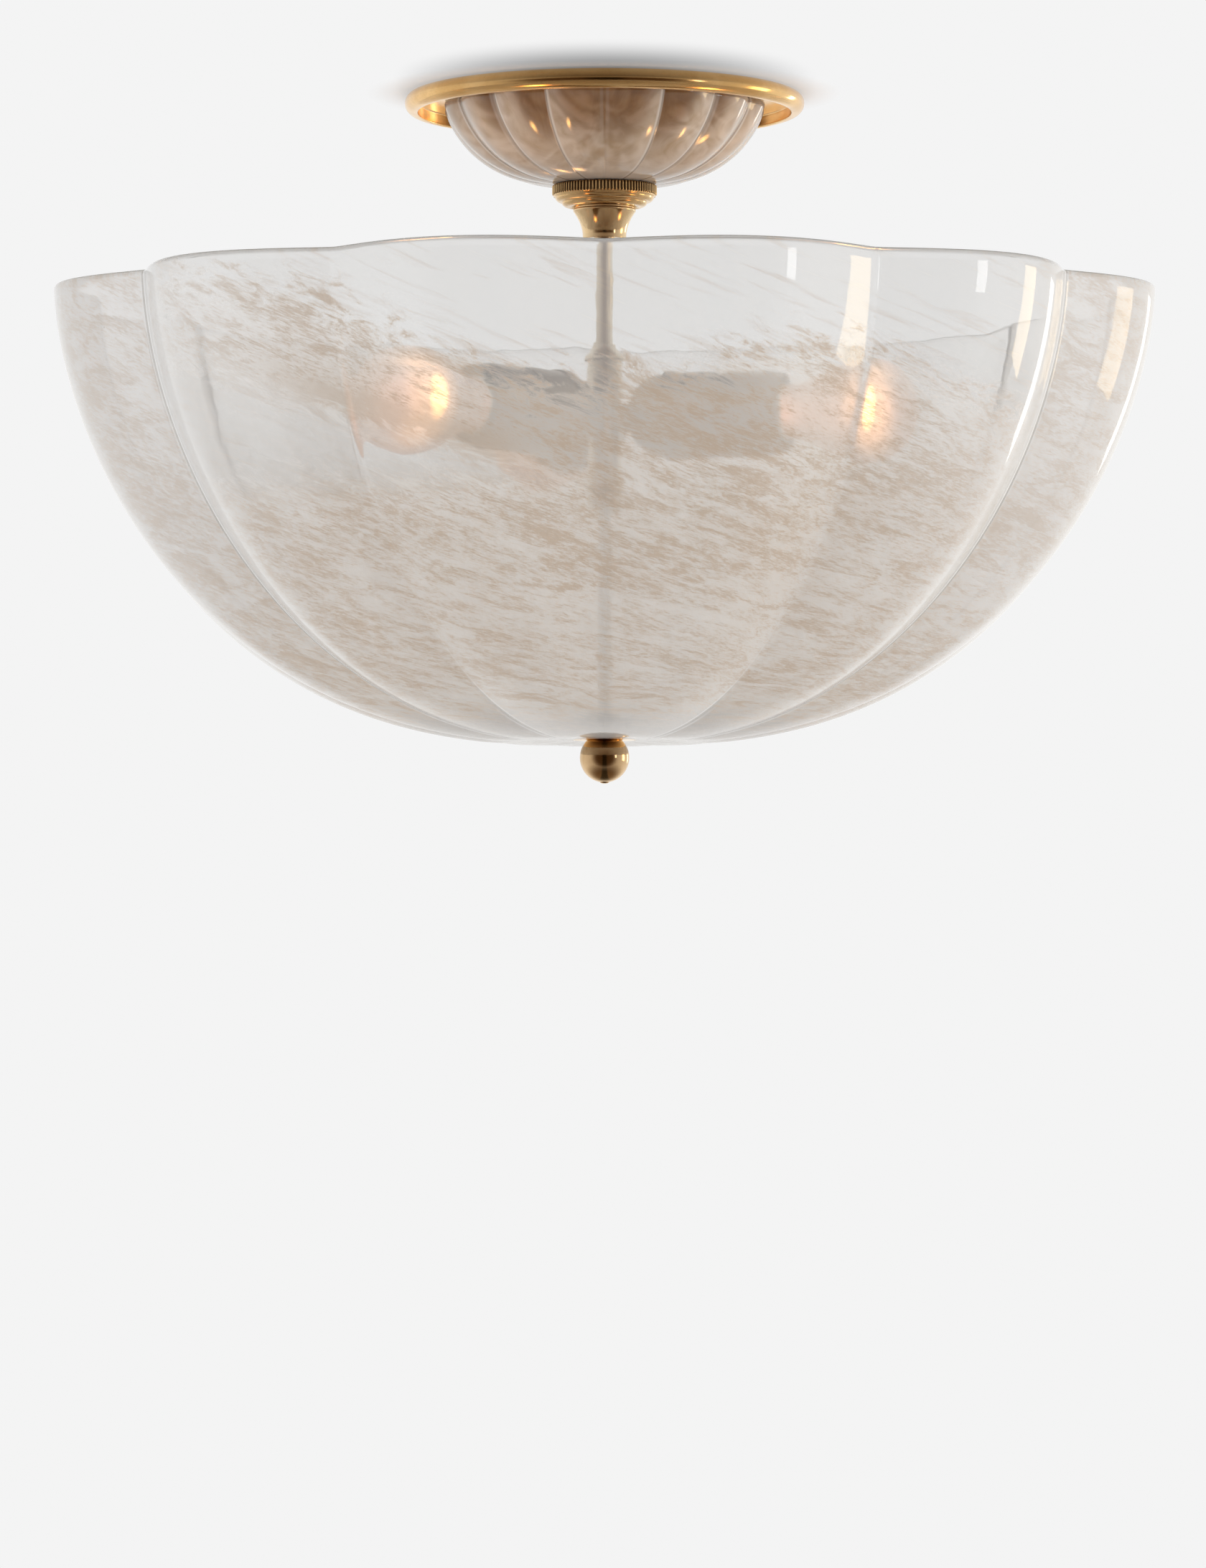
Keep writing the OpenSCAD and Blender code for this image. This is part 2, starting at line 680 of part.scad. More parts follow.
module bowl_glass() {
  outer = [for (t = [4, 10, 17, 24, 31, 38, 45, 52, 59, 66, 72, 77.5, 82, 85.5]) bowl_row(t, 0)];
  inner = [for (t = [85.5, 81.5, 76, 70, 63, 55, 47, 39, 31, 23, 15, 7]) bowl_row(t, bowl_wall)];
  rows = concat(
    [bowl_row(0, bowl_wall - 0.6), bowl_row(0, 0.6)],
    outer,
    [round_row(seat_r, bowl_seat_z, bowl_steps),
     round_row(bowl_hole_r, bowl_seat_z, bowl_steps),
     round_row(bowl_hole_r, bowl_inner_seat_z, bowl_steps),
     round_row(seat_r, bowl_inner_seat_z, bowl_steps)],
    inner);
  color(clear) ring_mesh(rows);
}

module upper_bowl_gasket() {
  color(rubber)
    translate([0, 0, bowl_inner_seat_z + gasket_thick])
      flat_ring(12, rod_dia / 2 + free_gap, gasket_thick);
}

module lower_bowl_gasket() {
  color(rubber)
    translate([0, 0, bowl_seat_z])
      flat_ring(washer_dia / 2 - 2, rod_dia / 2 + free_gap, bowl_seat_z - washer_top_z);
}

module seat_washer() {
  r = washer_dia / 2;
  bore = rod_dia / 2 + run_gap;
  color(brass)
    rotate_extrude()
      polygon([[bore, washer_top_z], [r, washer_top_z], [r, washer_top_z - 0.5],
               [r - 1.6, ball_top_z], [bore, ball_top_z]]);
}

module ball_finial() {
  bore = rod_dia / 2 + run_gap;
  color(brass)
    difference() {
      union() {
        intersection() {
          translate([0, 0, ball_z]) sphere(d = ball_dia);
          // flat top
          translate([-ball_dia, -ball_dia, ball_z - ball_dia])
            cube([2 * ball_dia, 2 * ball_dia, ball_top_z - ball_z + ball_dia]);
        }
        translate([0, 0, ball_z - ball_dia / 2 - 0.5]) cylinder(r1 = 1.2, r2 = 2.2, h = 1.2);
      }
      translate([0, 0, rod_end_z - 0.6]) cylinder(r = bore, h = finial_thread + 2);
    }
}

// What is drawn

mounting_crossbar();
ground_screw();
crossbar_lock_nut();
mounting_nipple();
canopy_pan();
canopy_pan_nut();
dome_rim_gasket();
flared_neck();
stem_tube();
hub_cup();
socket_hub();
hub_plug();
lower_rod();
bowl_stop_nut();
live_lead();
neutral_lead();
arm_nipple(0);  // arm_nipple_1
arm_nipple(1);  // arm_nipple_2
arm_nipple(2);  // arm_nipple_3
socket_cap(0);  // socket_cap_1
socket_cap(1);  // socket_cap_2
socket_cap(2);  // socket_cap_3
socket_shell(0);  // socket_shell_1
socket_shell(1);  // socket_shell_2
socket_shell(2);  // socket_shell_3
socket_liner(0);  // socket_liner_1
socket_liner(1);  // socket_liner_2
socket_liner(2);  // socket_liner_3
socket_body(0);  // socket_body_1
socket_body(1);  // socket_body_2
socket_body(2);  // socket_body_3
socket_screw_shell(0);  // socket_screw_shell_1
socket_screw_shell(1);  // socket_screw_shell_2
socket_screw_shell(2);  // socket_screw_shell_3
socket_contact(0);  // socket_contact_1
socket_contact(1);  // socket_contact_2
socket_contact(2);  // socket_contact_3
dome_glass();
ring_gasket();
knurled_ring();
bulb_eyelet(0);  // bulb_eyelet_1
bulb_eyelet(1);  // bulb_eyelet_2
bulb_eyelet(2);  // bulb_eyelet_3
bulb_base(0);  // bulb_base_1
bulb_base(1);  // bulb_base_2
bulb_base(2);  // bulb_base_3
bulb_glass(0);  // bulb_glass_1
bulb_glass(1);  // bulb_glass_2
bulb_glass(2);  // bulb_glass_3
bowl_glass();
upper_bowl_gasket();
lower_bowl_gasket();
seat_washer();
ball_finial();
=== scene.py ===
# %% [markdown]
# # A semi-flush ceiling light in lobed glass and brass
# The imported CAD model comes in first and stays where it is: it fixes every size, every joint
# and the place of every piece. What follows dresses it. Turned brass and blown glass are
# surfaces with a simple law, so they are worked out with numpy instead of being modelled by hand.

import math

import bmesh
import bpy
import numpy as np
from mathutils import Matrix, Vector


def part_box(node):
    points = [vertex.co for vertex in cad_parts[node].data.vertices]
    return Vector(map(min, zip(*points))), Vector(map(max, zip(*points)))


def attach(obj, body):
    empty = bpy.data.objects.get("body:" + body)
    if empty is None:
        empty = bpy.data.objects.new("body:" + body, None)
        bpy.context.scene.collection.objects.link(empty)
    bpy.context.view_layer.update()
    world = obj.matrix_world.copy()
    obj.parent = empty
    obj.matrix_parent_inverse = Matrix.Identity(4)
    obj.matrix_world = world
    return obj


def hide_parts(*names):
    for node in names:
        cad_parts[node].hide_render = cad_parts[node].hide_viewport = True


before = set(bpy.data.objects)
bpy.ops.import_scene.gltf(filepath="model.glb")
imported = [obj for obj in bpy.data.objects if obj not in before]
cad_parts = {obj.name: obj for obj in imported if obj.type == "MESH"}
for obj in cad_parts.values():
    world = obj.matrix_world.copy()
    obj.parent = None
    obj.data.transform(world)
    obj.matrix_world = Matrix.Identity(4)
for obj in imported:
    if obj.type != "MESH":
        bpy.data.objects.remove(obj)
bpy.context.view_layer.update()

# %% [markdown]
# ## The place of things
# The heights come from the CAD nodes themselves, so a piece drawn here can't drift from the
# solid that it stands for. `low` and `high` read one coordinate of a node's box.


# %% Heights read from the CAD
def low(node, axis=2):
    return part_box(node)[0][axis]


def high(node, axis=2):
    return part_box(node)[1][axis]


mm = 0.001
rim_z = high("bowl_glass")
socket_z = (low("socket_shell_1") + high("socket_shell_1")) / 2
directions = [math.radians(a) for a in (-15, 105, 225)]
print("bowl rim", round(rim_z, 4), "socket row", round(socket_z, 4))

# %% [markdown]
# ## Sheets of points
# A lathe, a glass mould and a knurling tool all do the same thing: they carry a profile round
# an axis and change its radius a little on the way. So every new piece here is a grid of points,
# rows down the profile and columns round the axis. `around` places the points, and `sheet_mesh`
# turns a grid into a mesh whose faces point outwards and whose poles are closed.


# %% Grid to mesh
def whole_turn(count):
    """That many even angles from 0 round to a full turn."""
    return np.linspace(0, 2 * np.pi, count, endpoint=False)


def around(r, z, angle):
    """Points (r cos a, r sin a, z) for each angle a."""
    return np.stack([r * np.cos(angle), r * np.sin(angle), z + 0 * angle], -1)


def grid_faces(rows, cols, closed=True):
    """Face (i, j) joins points (i, j), (i, j+1), (i+1, j+1), (i+1, j).

    The columns always close into a ring, and the rows do so too where closed is true.
    """
    i = np.arange(rows if closed else rows - 1)[:, None]
    j = np.arange(cols)[None, :]
    i2, j2 = (i + 1) % rows, (j + 1) % cols
    quads = np.stack([i * cols + j, i * cols + j2, i2 * cols + j2, i2 * cols + j], -1)
    return quads.reshape(-1, 4)


def merged_mesh(name, points, quads, extras=None):
    """A piece with these faces and named values per point; points that coincide become one."""
    mesh = bpy.data.meshes.new(name)
    mesh.from_pydata(points.reshape(-1, 3), [], quads)
    for key, values in (extras or {}).items():
        vector = values.ndim == 3
        layer = mesh.attributes.new(key, "FLOAT_VECTOR" if vector else "FLOAT", "POINT")
        layer.data.foreach_set("vector" if vector else "value", values.astype(np.float32).ravel())
    work = bmesh.new()
    work.from_mesh(mesh)
    bmesh.ops.remove_doubles(work, verts=work.verts, dist=1e-6)
    bmesh.ops.dissolve_degenerate(work, edges=work.edges, dist=1e-7)
    work.to_mesh(mesh)
    work.free()
    piece = bpy.data.objects.new(name, mesh)
    bpy.context.collection.objects.link(piece)
    return piece


def sheet_mesh(name, points, extras=None):
    """A smooth piece through points[row, column], closed both ways, faces outwards."""
    quads = grid_faces(*points.shape[:2])
    flat = points.reshape(-1, 3)
    a, b, c, d = (flat[quads[:, k]] for k in range(4))
    volume = np.einsum("ij,ij->", a, np.cross(b, c) + np.cross(c, d))
    piece = merged_mesh(name, points, quads[:, ::-1] if volume < 0 else quads, extras)
    piece.data.shade_smooth()
    return piece


def dress(piece, body, finish, node):
    """Gives a piece its body, its finish and the CAD node that it stands for."""
    piece.data.materials.clear()
    piece.data.materials.append(finish)
    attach(piece, body)
    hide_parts(node)
    print(f"{piece.name}: {len(piece.data.polygons)} faces on {body}")


# %% [markdown]
# ## Turning
# A real turned edge is never sharp: a file or a buff has been over it, and that narrow round
# catches the light. `eased` swaps each corner of a profile for a short curve, `stepped` adds points
# along the long runs so that smooth shading stays true, `turned` carries the profile round, and
# `aimed` lays what was turned along a socket.


# %% Lathe tools
def eased(profile, radius, steps=4):
    """Each corner P becomes (1-w)^2 A + 2w(1-w) P + w^2 B, A and B lying up to radius away."""
    p = np.asarray(profile, float)
    before, after = np.roll(p, 1, 0) - p, np.roll(p, -1, 0) - p
    reach_a = np.linalg.norm(before, axis=1, keepdims=True)
    reach_b = np.linalg.norm(after, axis=1, keepdims=True)
    a = p + before / reach_a * np.minimum(radius, 0.45 * reach_a)
    b = p + after / reach_b * np.minimum(radius, 0.45 * reach_b)
    w = np.linspace(0, 1, steps + 1)[None, :, None]
    curve = (1 - w) ** 2 * a[:, None] + 2 * w * (1 - w) * p[:, None] + w**2 * b[:, None]
    return curve.reshape(-1, 2)


def stepped(profile, gap):
    """The same closed profile with points no further apart than about gap."""
    p = np.vstack([profile, profile[:1]])
    s = np.concatenate([[0], np.cumsum(np.linalg.norm(np.diff(p, axis=0), axis=1))])
    t = np.unique(np.concatenate([s, np.linspace(0, s[-1], int(s[-1] / gap) + 2)]))[:-1]
    return np.stack([np.interp(t, s, p[:, 0]), np.interp(t, s, p[:, 1])], -1)


def turned(name, profile, columns, gap=1.2 * mm):
    """A closed profile of (r, z) carried round the axis in that many columns."""
    r, z = stepped(np.asarray(profile, float), gap).T
    return sheet_mesh(name, around(r[:, None], z[:, None], whole_turn(columns)))


def aimed(piece, angle):
    """Lays a piece turned about Z along a socket: Z goes to the direction at that angle."""
    v = np.empty(3 * len(piece.data.vertices))
    piece.data.vertices.foreach_get("co", v)
    x, y, z = v.reshape(-1, 3).T
    c, s = math.cos(angle), math.sin(angle)
    out = np.stack([z * c - y * s, z * s + y * c, socket_z - x], -1)
    piece.data.vertices.foreach_set("co", out.ravel())
    piece.data.update()
    return piece


# %% [markdown]
# ## Writing shader maths as sums
# A node tree is a formula drawn as boxes. `Wire` holds one output socket and lets Python's own
# operators add the Math nodes, so a pattern reads as the sum that it is. `Finish` makes one
# material, and its method `add` makes any other node: type, settings, then socket values. The
# other methods name the few nodes that the finishes share.


# %% Shader helper
class Wire:
    """One output socket, with the arithmetic that a finish needs."""

    def __init__(self, finish, socket):
        self.finish, self.socket = finish, socket

    def _maths(self, operation, *terms):
        return self.finish.add("ShaderNodeMath", {"operation": operation},
                               dict(enumerate(terms)))

    def __add__(self, other):
        return self._maths("ADD", self, other)

    __radd__ = __add__

    def __mul__(self, other):
        return self._maths("MULTIPLY", self, other)

    __rmul__ = __mul__

    def __sub__(self, other):
        return self._maths("SUBTRACT", self, other)

    def __rsub__(self, other):
        return self._maths("SUBTRACT", other, self)

    def __truediv__(self, other):
        return self._maths("DIVIDE", self, other)

    def __pow__(self, other):
        return self._maths("POWER", self, other)

    def least(self, other):
        return self._maths("MINIMUM", self, other)

    def most(self, other):
        return self._maths("MAXIMUM", self, other)

    def sine(self):
        return self._maths("SINE", self)

    def rise(self, start, end, bottom=0.0, top=1.0):
        """Smooth step from bottom at start to top at end."""
        return self.finish.add(
            "ShaderNodeMapRange", {"interpolation_type": "SMOOTHSTEP"},
            {"Value": self, "From Min": start, "From Max": end,
             "To Min": bottom, "To Max": top})


class Finish:
    """One material, or the world given, and the tools to write its nodes."""

    def __init__(self, name, world=None):
        self.material = world or bpy.data.materials.new(name)
        self.material.use_nodes = True
        self.tree = self.material.node_tree
        self.tree.nodes.clear()

    def add(self, kind, settings=None, sockets=None, out=0):
        """A node of this kind, with its settings and the value or wire of each socket."""
        node = self.tree.nodes.new(kind)
        for key, value in (settings or {}).items():
            setattr(node, key, value)
        for key, value in (sockets or {}).items():
            if isinstance(value, Wire):
                self.tree.links.new(value.socket, node.inputs[key])
            else:
                node.inputs[key].default_value = value
        return Wire(self, node.outputs[out])

    def place(self):
        """Object coordinates, in metres."""
        return self.add("ShaderNodeTexCoord", out="Object")

    def stretched(self, place, scale):
        """The place times scale, so that a pattern drawn on it is finer along the larger ones."""
        return self.add("ShaderNodeMapping", {}, {"Vector": place, "Scale": scale})

    def parts(self, vector):
        """The three numbers of a vector."""
        return [self.add("ShaderNodeSeparateXYZ", {}, {"Vector": vector}, out=k)
                for k in range(3)]

    def joined(self, x, y, z):
        return self.add("ShaderNodeCombineXYZ", {}, {0: x, 1: y, 2: z})

    def grazing(self):
        """0 where the surface is seen square on, 1 at its outline."""
        return self.add("ShaderNodeLayerWeight", {}, {"Blend": 0.5}, out="Facing")

    def turned_away(self):
        """The same for the normal laid flat: 0 in front, 1 at the sides, at any height."""
        x, y, z = self.parts(self.add("ShaderNodeNewGeometry", out="Normal"))
        flat = self.add("ShaderNodeVectorMath", {"operation": "NORMALIZE"},
                        {0: self.joined(x, y, z * 0.02)})
        return self.add("ShaderNodeLayerWeight", {}, {"Blend": 0.5, "Normal": flat},
                        out="Facing")

    def noise(self, place, scale, detail, rough, warp=0.0):
        return self.add("ShaderNodeTexNoise", {},
                        {"Vector": place, "Scale": scale, "Detail": detail,
                         "Roughness": rough, "Distortion": warp})

    def colours(self, share, first, second):
        """The first colour where share is 0, the second where it is 1."""
        return self.add("ShaderNodeMix", {"data_type": "RGBA"},
                        {0: share, 6: first, 7: second}, out=2)

    def layered(self, colour, *layers):
        """The colour with each (share, paint) laid over it in turn."""
        for share, paint in layers:
            colour = self.colours(share, colour, paint)
        return colour

    def attribute(self, name, out="Fac"):
        return self.add("ShaderNodeAttribute", {"attribute_name": name}, out=out)

    def bump(self, height, depth, strength):
        return self.add("ShaderNodeBump", {},
                        {"Height": height, "Distance": depth, "Strength": strength})

    def surface(self, **sockets):
        """A principled shader, the sockets named with _ for a space."""
        names = {key.replace("_", " "): value for key, value in sockets.items()}
        return self.add("ShaderNodeBsdfPrincipled", {}, names)

    def blend(self, share, first, second):
        """The first shader where share is 0, the second where it is 1."""
        return self.add("ShaderNodeMixShader", {}, {0: share, 1: first, 2: second})

    def done(self, shader):
        """Wires the shader to the output and hands over what was made."""
        kind = "World" if isinstance(self.material, bpy.types.World) else "Material"
        node = self.tree.nodes.new("ShaderNodeOutput" + kind)
        self.tree.links.new(shader.socket, node.inputs["Surface"])
        return self.material


def tint(red, green, blue):
    """An opaque colour."""
    return (red, green, blue, 1.0)


# %% [markdown]
# ## Brass
# Unlacquered brass that has been handled: the metal is warm and pale where it is rubbed and
# browner where it has been left alone. A slow noise chooses between the two, a fine one gives the
# faint cloudiness of a hand-buffed face, and both also make the surface a little less glossy.
# Where a face is seen square on, a painted reflection turns it a deep brown, as polished brass
# looks in a dim room.


# %% Brass
# Painted reflection: the deep brown laid on faces seen square on stands for the dim room mirrored
# in them.
painted_dark_reflection, groove_dirt = tint(0.15, 0.065, 0.018), tint(0.05, 0.025, 0.010)


def aged_brass(name, rubbed, browned, gloss, grain=(1, 1, 1), groove=0.0):
    """groove is how much darker the metal gets where the attribute of that name is 1."""
    f = Finish(name)
    place = f.place()
    cloud = f.noise(place, 38, 4, 0.6, 0.3)
    speck = f.noise(f.stretched(place, grain), 900, 3, 0.6)
    share = cloud.rise(0.38, 0.66) * 0.7 + speck.rise(0.45, 0.75) * 0.3
    # square marks the faces seen square on, which take the painted reflection of the dim room.
    square = (1 - f.grazing()) ** 3
    colour = f.layered(tint(*rubbed), (share, tint(*browned)), (square * 0.90, painted_dark_reflection))
    rough = share * 0.09 + gloss + speck * 0.04
    if groove:
        dirt = f.attribute("groove").rise(0.12, 0.50) * groove
        colour = f.colours(dirt, colour, groove_dirt)
        rough = rough + dirt * 0.4
    return f.done(f.surface(Base_Color=colour, Metallic=1.0, Roughness=rough,
                            Normal=f.bump(speck, 0.02 * mm, 0.30)))


along_z = (1, 1, 9)
brass = aged_brass("aged_brass", (0.93, 0.61, 0.27), (0.76, 0.46, 0.17), 0.10)
turned_brass = aged_brass("turned_brass", (0.92, 0.69, 0.40), (0.72, 0.48, 0.24), 0.08, along_z)
ball_brass = aged_brass("ball_brass", (0.80, 0.57, 0.33), (0.60, 0.41, 0.21), 0.07, along_z)
knurled_brass = aged_brass("knurled_brass", (0.86, 0.60, 0.30), (0.64, 0.41, 0.18), 0.10,
                           groove=0.95)
# Painted shade: the sockets' brass is made dark so that they show as dark shapes through the milky
# bowl.
socket_brass_painted_dark = aged_brass("socket_brass_painted_dark", (0.27, 0.20, 0.13), (0.18, 0.13, 0.08), 0.30)
hub_brass = aged_brass("hub_brass", (0.78, 0.67, 0.51), (0.58, 0.49, 0.36), 0.22)

# %% [markdown]
# ## The plain working parts
# Zinc-plated steel has a fine spangle, rubber is dull and slightly dusty, the card liner of a
# socket shows its fibres, and the moulded body has the swirl of pressed resin. They are hidden
# most of the time, but a light is also seen from a ladder with its bowl off.


# %% Working finishes
def plated(name, pale, dark, gloss):
    f = Finish(name)
    place = f.place()
    spangle = f.add("ShaderNodeTexVoronoi", {"feature": "F1"},
                    {"Vector": place, "Scale": 420}, out="Distance")
    cloud = f.noise(place, 60, 3, 0.6)
    share = spangle * 0.5 + cloud * 0.5
    return f.done(f.surface(Base_Color=f.colours(share, tint(*pale), tint(*dark)),
                            Metallic=1.0, Roughness=share * 0.15 + gloss))


def dull(name, first, second, scale, rough, stretch=(1, 1, 1)):
    f = Finish(name)
    grain = f.noise(f.stretched(f.place(), stretch), scale, 5, 0.65, 0.4)
    share = grain.rise(0.3, 0.7)
    return f.done(f.surface(Base_Color=f.colours(share, tint(*first), tint(*second)),
                            Roughness=share * 0.12 + rough,
                            Normal=f.bump(grain, 0.05 * mm, 0.5)))


steel = plated("plated_steel", (0.66, 0.66, 0.64), (0.44, 0.45, 0.46), 0.28)
shell_metal = plated("screw_shell", (0.80, 0.77, 0.66), (0.60, 0.55, 0.42), 0.22)
rubber = dull("rubber", (0.030, 0.030, 0.032), (0.060, 0.058, 0.056), 1500, 0.55)
green_paint = dull("green_screw", (0.035, 0.150, 0.070), (0.060, 0.210, 0.100), 900, 0.30)
card = dull("liner_card", (0.56, 0.42, 0.26), (0.42, 0.30, 0.18), 700, 0.75, (1, 1, 5))
moulding = dull("moulding", (0.030, 0.023, 0.018), (0.060, 0.045, 0.034), 260, 0.32)
black_sheath = dull("black_sheath", (0.020, 0.020, 0.021), (0.040, 0.040, 0.041), 800, 0.42)
white_sheath = dull("white_sheath", (0.74, 0.73, 0.70), (0.62, 0.61, 0.58), 800, 0.42)


def refinish(finish, *nodes):
    """A CAD node keeps its mesh and takes this finish on every slot."""
    for node in nodes:
        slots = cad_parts[node].data.materials
        for k in range(len(slots)):
            slots[k] = finish


def each(*names):
    """The three nodes of each name."""
    return [f"{name}_{i}" for name in names for i in (1, 2, 3)]


refinish(steel, "mounting_crossbar", "crossbar_lock_nut", "mounting_nipple", "canopy_pan_nut",
         "lower_rod", *each("arm_nipple"))
refinish(green_paint, "ground_screw")
refinish(rubber, "dome_rim_gasket", "ring_gasket", "upper_bowl_gasket", "lower_bowl_gasket")
refinish(black_sheath, "live_lead")
refinish(white_sheath, "neutral_lead")
refinish(card, *each("socket_liner"))
refinish(moulding, *each("socket_body", "bulb_eyelet"))
refinish(shell_metal, *each("socket_screw_shell"))
refinish(hub_brass, "socket_hub", "hub_plug", "bowl_stop_nut", *each("socket_contact"))

# %% [markdown]
# ## The brass pan
# A disc of sheet spun over a former: a rolled rim outside, a flat that the glass dome closes
# against, and a well in the middle that clears the crossbar. One closed profile of the sheet's
# two faces, taken round the axis, gives all three.

# %% Canopy pan
pan_r = high("canopy_pan", 0) / mm
rim_r = 4.45
tube_mid = pan_r - rim_r
sheet = 1.0
flat_z = high("dome_rim_gasket") / mm
well_r = 63.0
well_z = low("canopy_pan") / mm
hole_r = 5.0
bend = np.radians(np.linspace(90, -90, 25))
outside = np.stack([tube_mid + rim_r * np.cos(bend), -rim_r + rim_r * np.sin(bend)], -1)
inside = np.stack([tube_mid + (rim_r - sheet) * np.cos(bend[::-1]),
                   -rim_r + (rim_r - sheet) * np.sin(bend[::-1])], -1)
wall_r = tube_mid - 0.5
pan_profile = np.vstack([
    outside, [[wall_r - sheet, -2 * rim_r], [wall_r - sheet, flat_z], [well_r, flat_z],
              [well_r, well_z], [hole_r, well_z], [hole_r, well_z + sheet],
              [well_r - sheet, well_z + sheet], [well_r - sheet, flat_z + sheet],
              [wall_r, flat_z + sheet], [wall_r, -2 * rim_r + sheet]], inside])
pan = turned("pan_spun", eased(pan_profile, 0.6) * mm, 320)
dress(pan, "fixture", brass, "canopy_pan")

# %% [markdown]
# ## The knurled ring
# The ring that holds the dome has a band of fine ridges for the fingers and two round mouldings
# under it. A knurl is a wave round the rim, so the grid carries a second number beside radius and
# height: how deep the wave bites at that row.

# %% Knurled ring
ring_r = high("knurled_ring", 0) / mm
ring_top = high("knurled_ring") / mm
ring_foot = low("knurled_ring") / mm
bore_r = 15.05
ridges, ridge_depth = 96, 0.55
band_foot = ring_top - 4.6


def quarter_round(r0, z0, r1, z1, n=10):
    """Quarter of an ellipse that leaves (r0, z0) flat and arrives at (r1, z1) upright."""
    t = np.radians(np.linspace(0, 90, n + 1))
    return np.stack([r0 + (r1 - r0) * np.sin(t), z0 + (z1 - z0) * (1 - np.cos(t))], -1)


lower_part = np.vstack([
    [[bore_r, ring_foot], [bore_r + 1.2, ring_foot]],
    quarter_round(bore_r + 1.4, ring_foot, ring_r - 4.4, ring_foot + 2.1),
    [[ring_r - 4.2, ring_foot + 2.3]],
    quarter_round(ring_r - 3.9, ring_foot + 2.3, ring_r - 1.4, ring_foot + 4.5),
    [[ring_r - 0.6, ring_foot + 4.75], [ring_r - 0.6, band_foot - 0.1]]])
band = np.array([[ring_r - 0.35, band_foot + 0.05], [ring_r - 0.05, band_foot + 0.4],
                 [ring_r, band_foot + 0.7], [ring_r, ring_top - 0.7],
                 [ring_r - 0.05, ring_top - 0.4], [ring_r - 0.35, ring_top - 0.05]])
top_part = np.array([[ring_r - 0.8, ring_top], [ring_r - 2.8, ring_top],
                     [ring_r - 2.9, ring_top - 0.1], [ring_r - 2.9, ring_top - 0.5],
                     [bore_r + 0.2, ring_top - 0.5], [bore_r, ring_top - 0.7]])
r, z = np.vstack([lower_part, band, top_part]).T[:, :, None]
bite = np.concatenate([np.zeros(len(lower_part)), [0.35, 0.9, 1, 1, 0.9, 0.35],
                       np.zeros(len(top_part))])[:, None]
a = whole_turn(ridges * 10)
wave = 0.5 + 0.5 * np.cos(ridges * a)
ring_grid = around(r - ridge_depth * bite * wave, z, a) * mm
ring = sheet_mesh("ring_knurled", ring_grid, {"groove": bite * wave})
dress(ring, "ring", knurled_brass, "knurled_ring")

# %% [markdown]
# ## Neck, stem and hub
# The neck screws on the nipple and swells into a collar with the ring's thread. Below it the
# stem is plain tube, and a small cup covers the joint with the socket cluster.

# %% Neck, stem and cup
collar_top = high("flared_neck") / mm
neck_foot = low("flared_neck") / mm
band_z = ring_foot + 1.4
flare_z = ring_foot - 2.2
pipe_r, pipe_bore = 4.8, 3.2
collar_r, waist_r, shoulder_r = 15.0, 14.0, 14.3
flare_foot_r, flare_swell = 10, 4.1
nipple_end, stem_top = flare_z - 2, flare_z - 4
z = np.linspace(flare_z, neck_foot, 22)
u = np.clip((flare_z - z) / (flare_z - neck_foot - 1.4), 0, 1)
flare = np.stack([flare_foot_r + flare_swell * (1 - u) ** 1.9, z], -1)
neck_profile = np.vstack([
    [[pipe_r, collar_top], [collar_r - 0.6, collar_top], [collar_r, collar_top - 0.6],
     [collar_r, band_z], [waist_r, band_z], [waist_r, flare_z + 1.2],
     [shoulder_r, flare_z + 0.9], [shoulder_r, flare_z + 0.2]],
    flare,
    [[pipe_r, neck_foot], [pipe_r, stem_top], [pipe_bore, stem_top], [pipe_bore, nipple_end],
     [pipe_r, nipple_end]]])
neck = turned("neck_flared", eased(neck_profile, 0.25) * mm, 224, 0.8 * mm)
dress(neck, "fixture", turned_brass, "flared_neck")

stem_foot = low("stem_tube") / mm
stem_profile = [[pipe_bore, stem_top], [pipe_r, stem_top], [pipe_r, stem_foot],
                [pipe_bore, stem_foot]]
stem = turned("stem_pipe", eased(stem_profile, 0.25) * mm, 96, 4 * mm)
dress(stem, "fixture", hub_brass, "stem_tube")

cup_top, cup_foot = high("hub_cup") / mm, low("hub_cup") / mm
hub_r = high("socket_hub", 0) / mm
cup_profile = [[pipe_r, cup_top], [pipe_r + 0.9, cup_top], [pipe_r + 1.2, cup_top - 1.5],
               [hub_r - 1.4, cup_top - 3.4], [hub_r + 1.2, cup_top - 6.2],
               [hub_r + 1.6, cup_top - 7.2], [hub_r + 1.6, cup_foot], [pipe_bore, cup_foot],
               [pipe_bore, cup_top - 5], [pipe_r, cup_top - 5]]
cup = turned("cup_turned", eased(cup_profile, 0.8) * mm, 128, 0.8 * mm)
dress(cup, "fixture", hub_brass, "hub_cup")

# %% [markdown]
# ## Sockets
# Three sockets stand out from the hub like spokes. Each is a drawn cap and a drawn shell that
# meet at a rolled bead, so they are turned upright first and then laid along their direction.

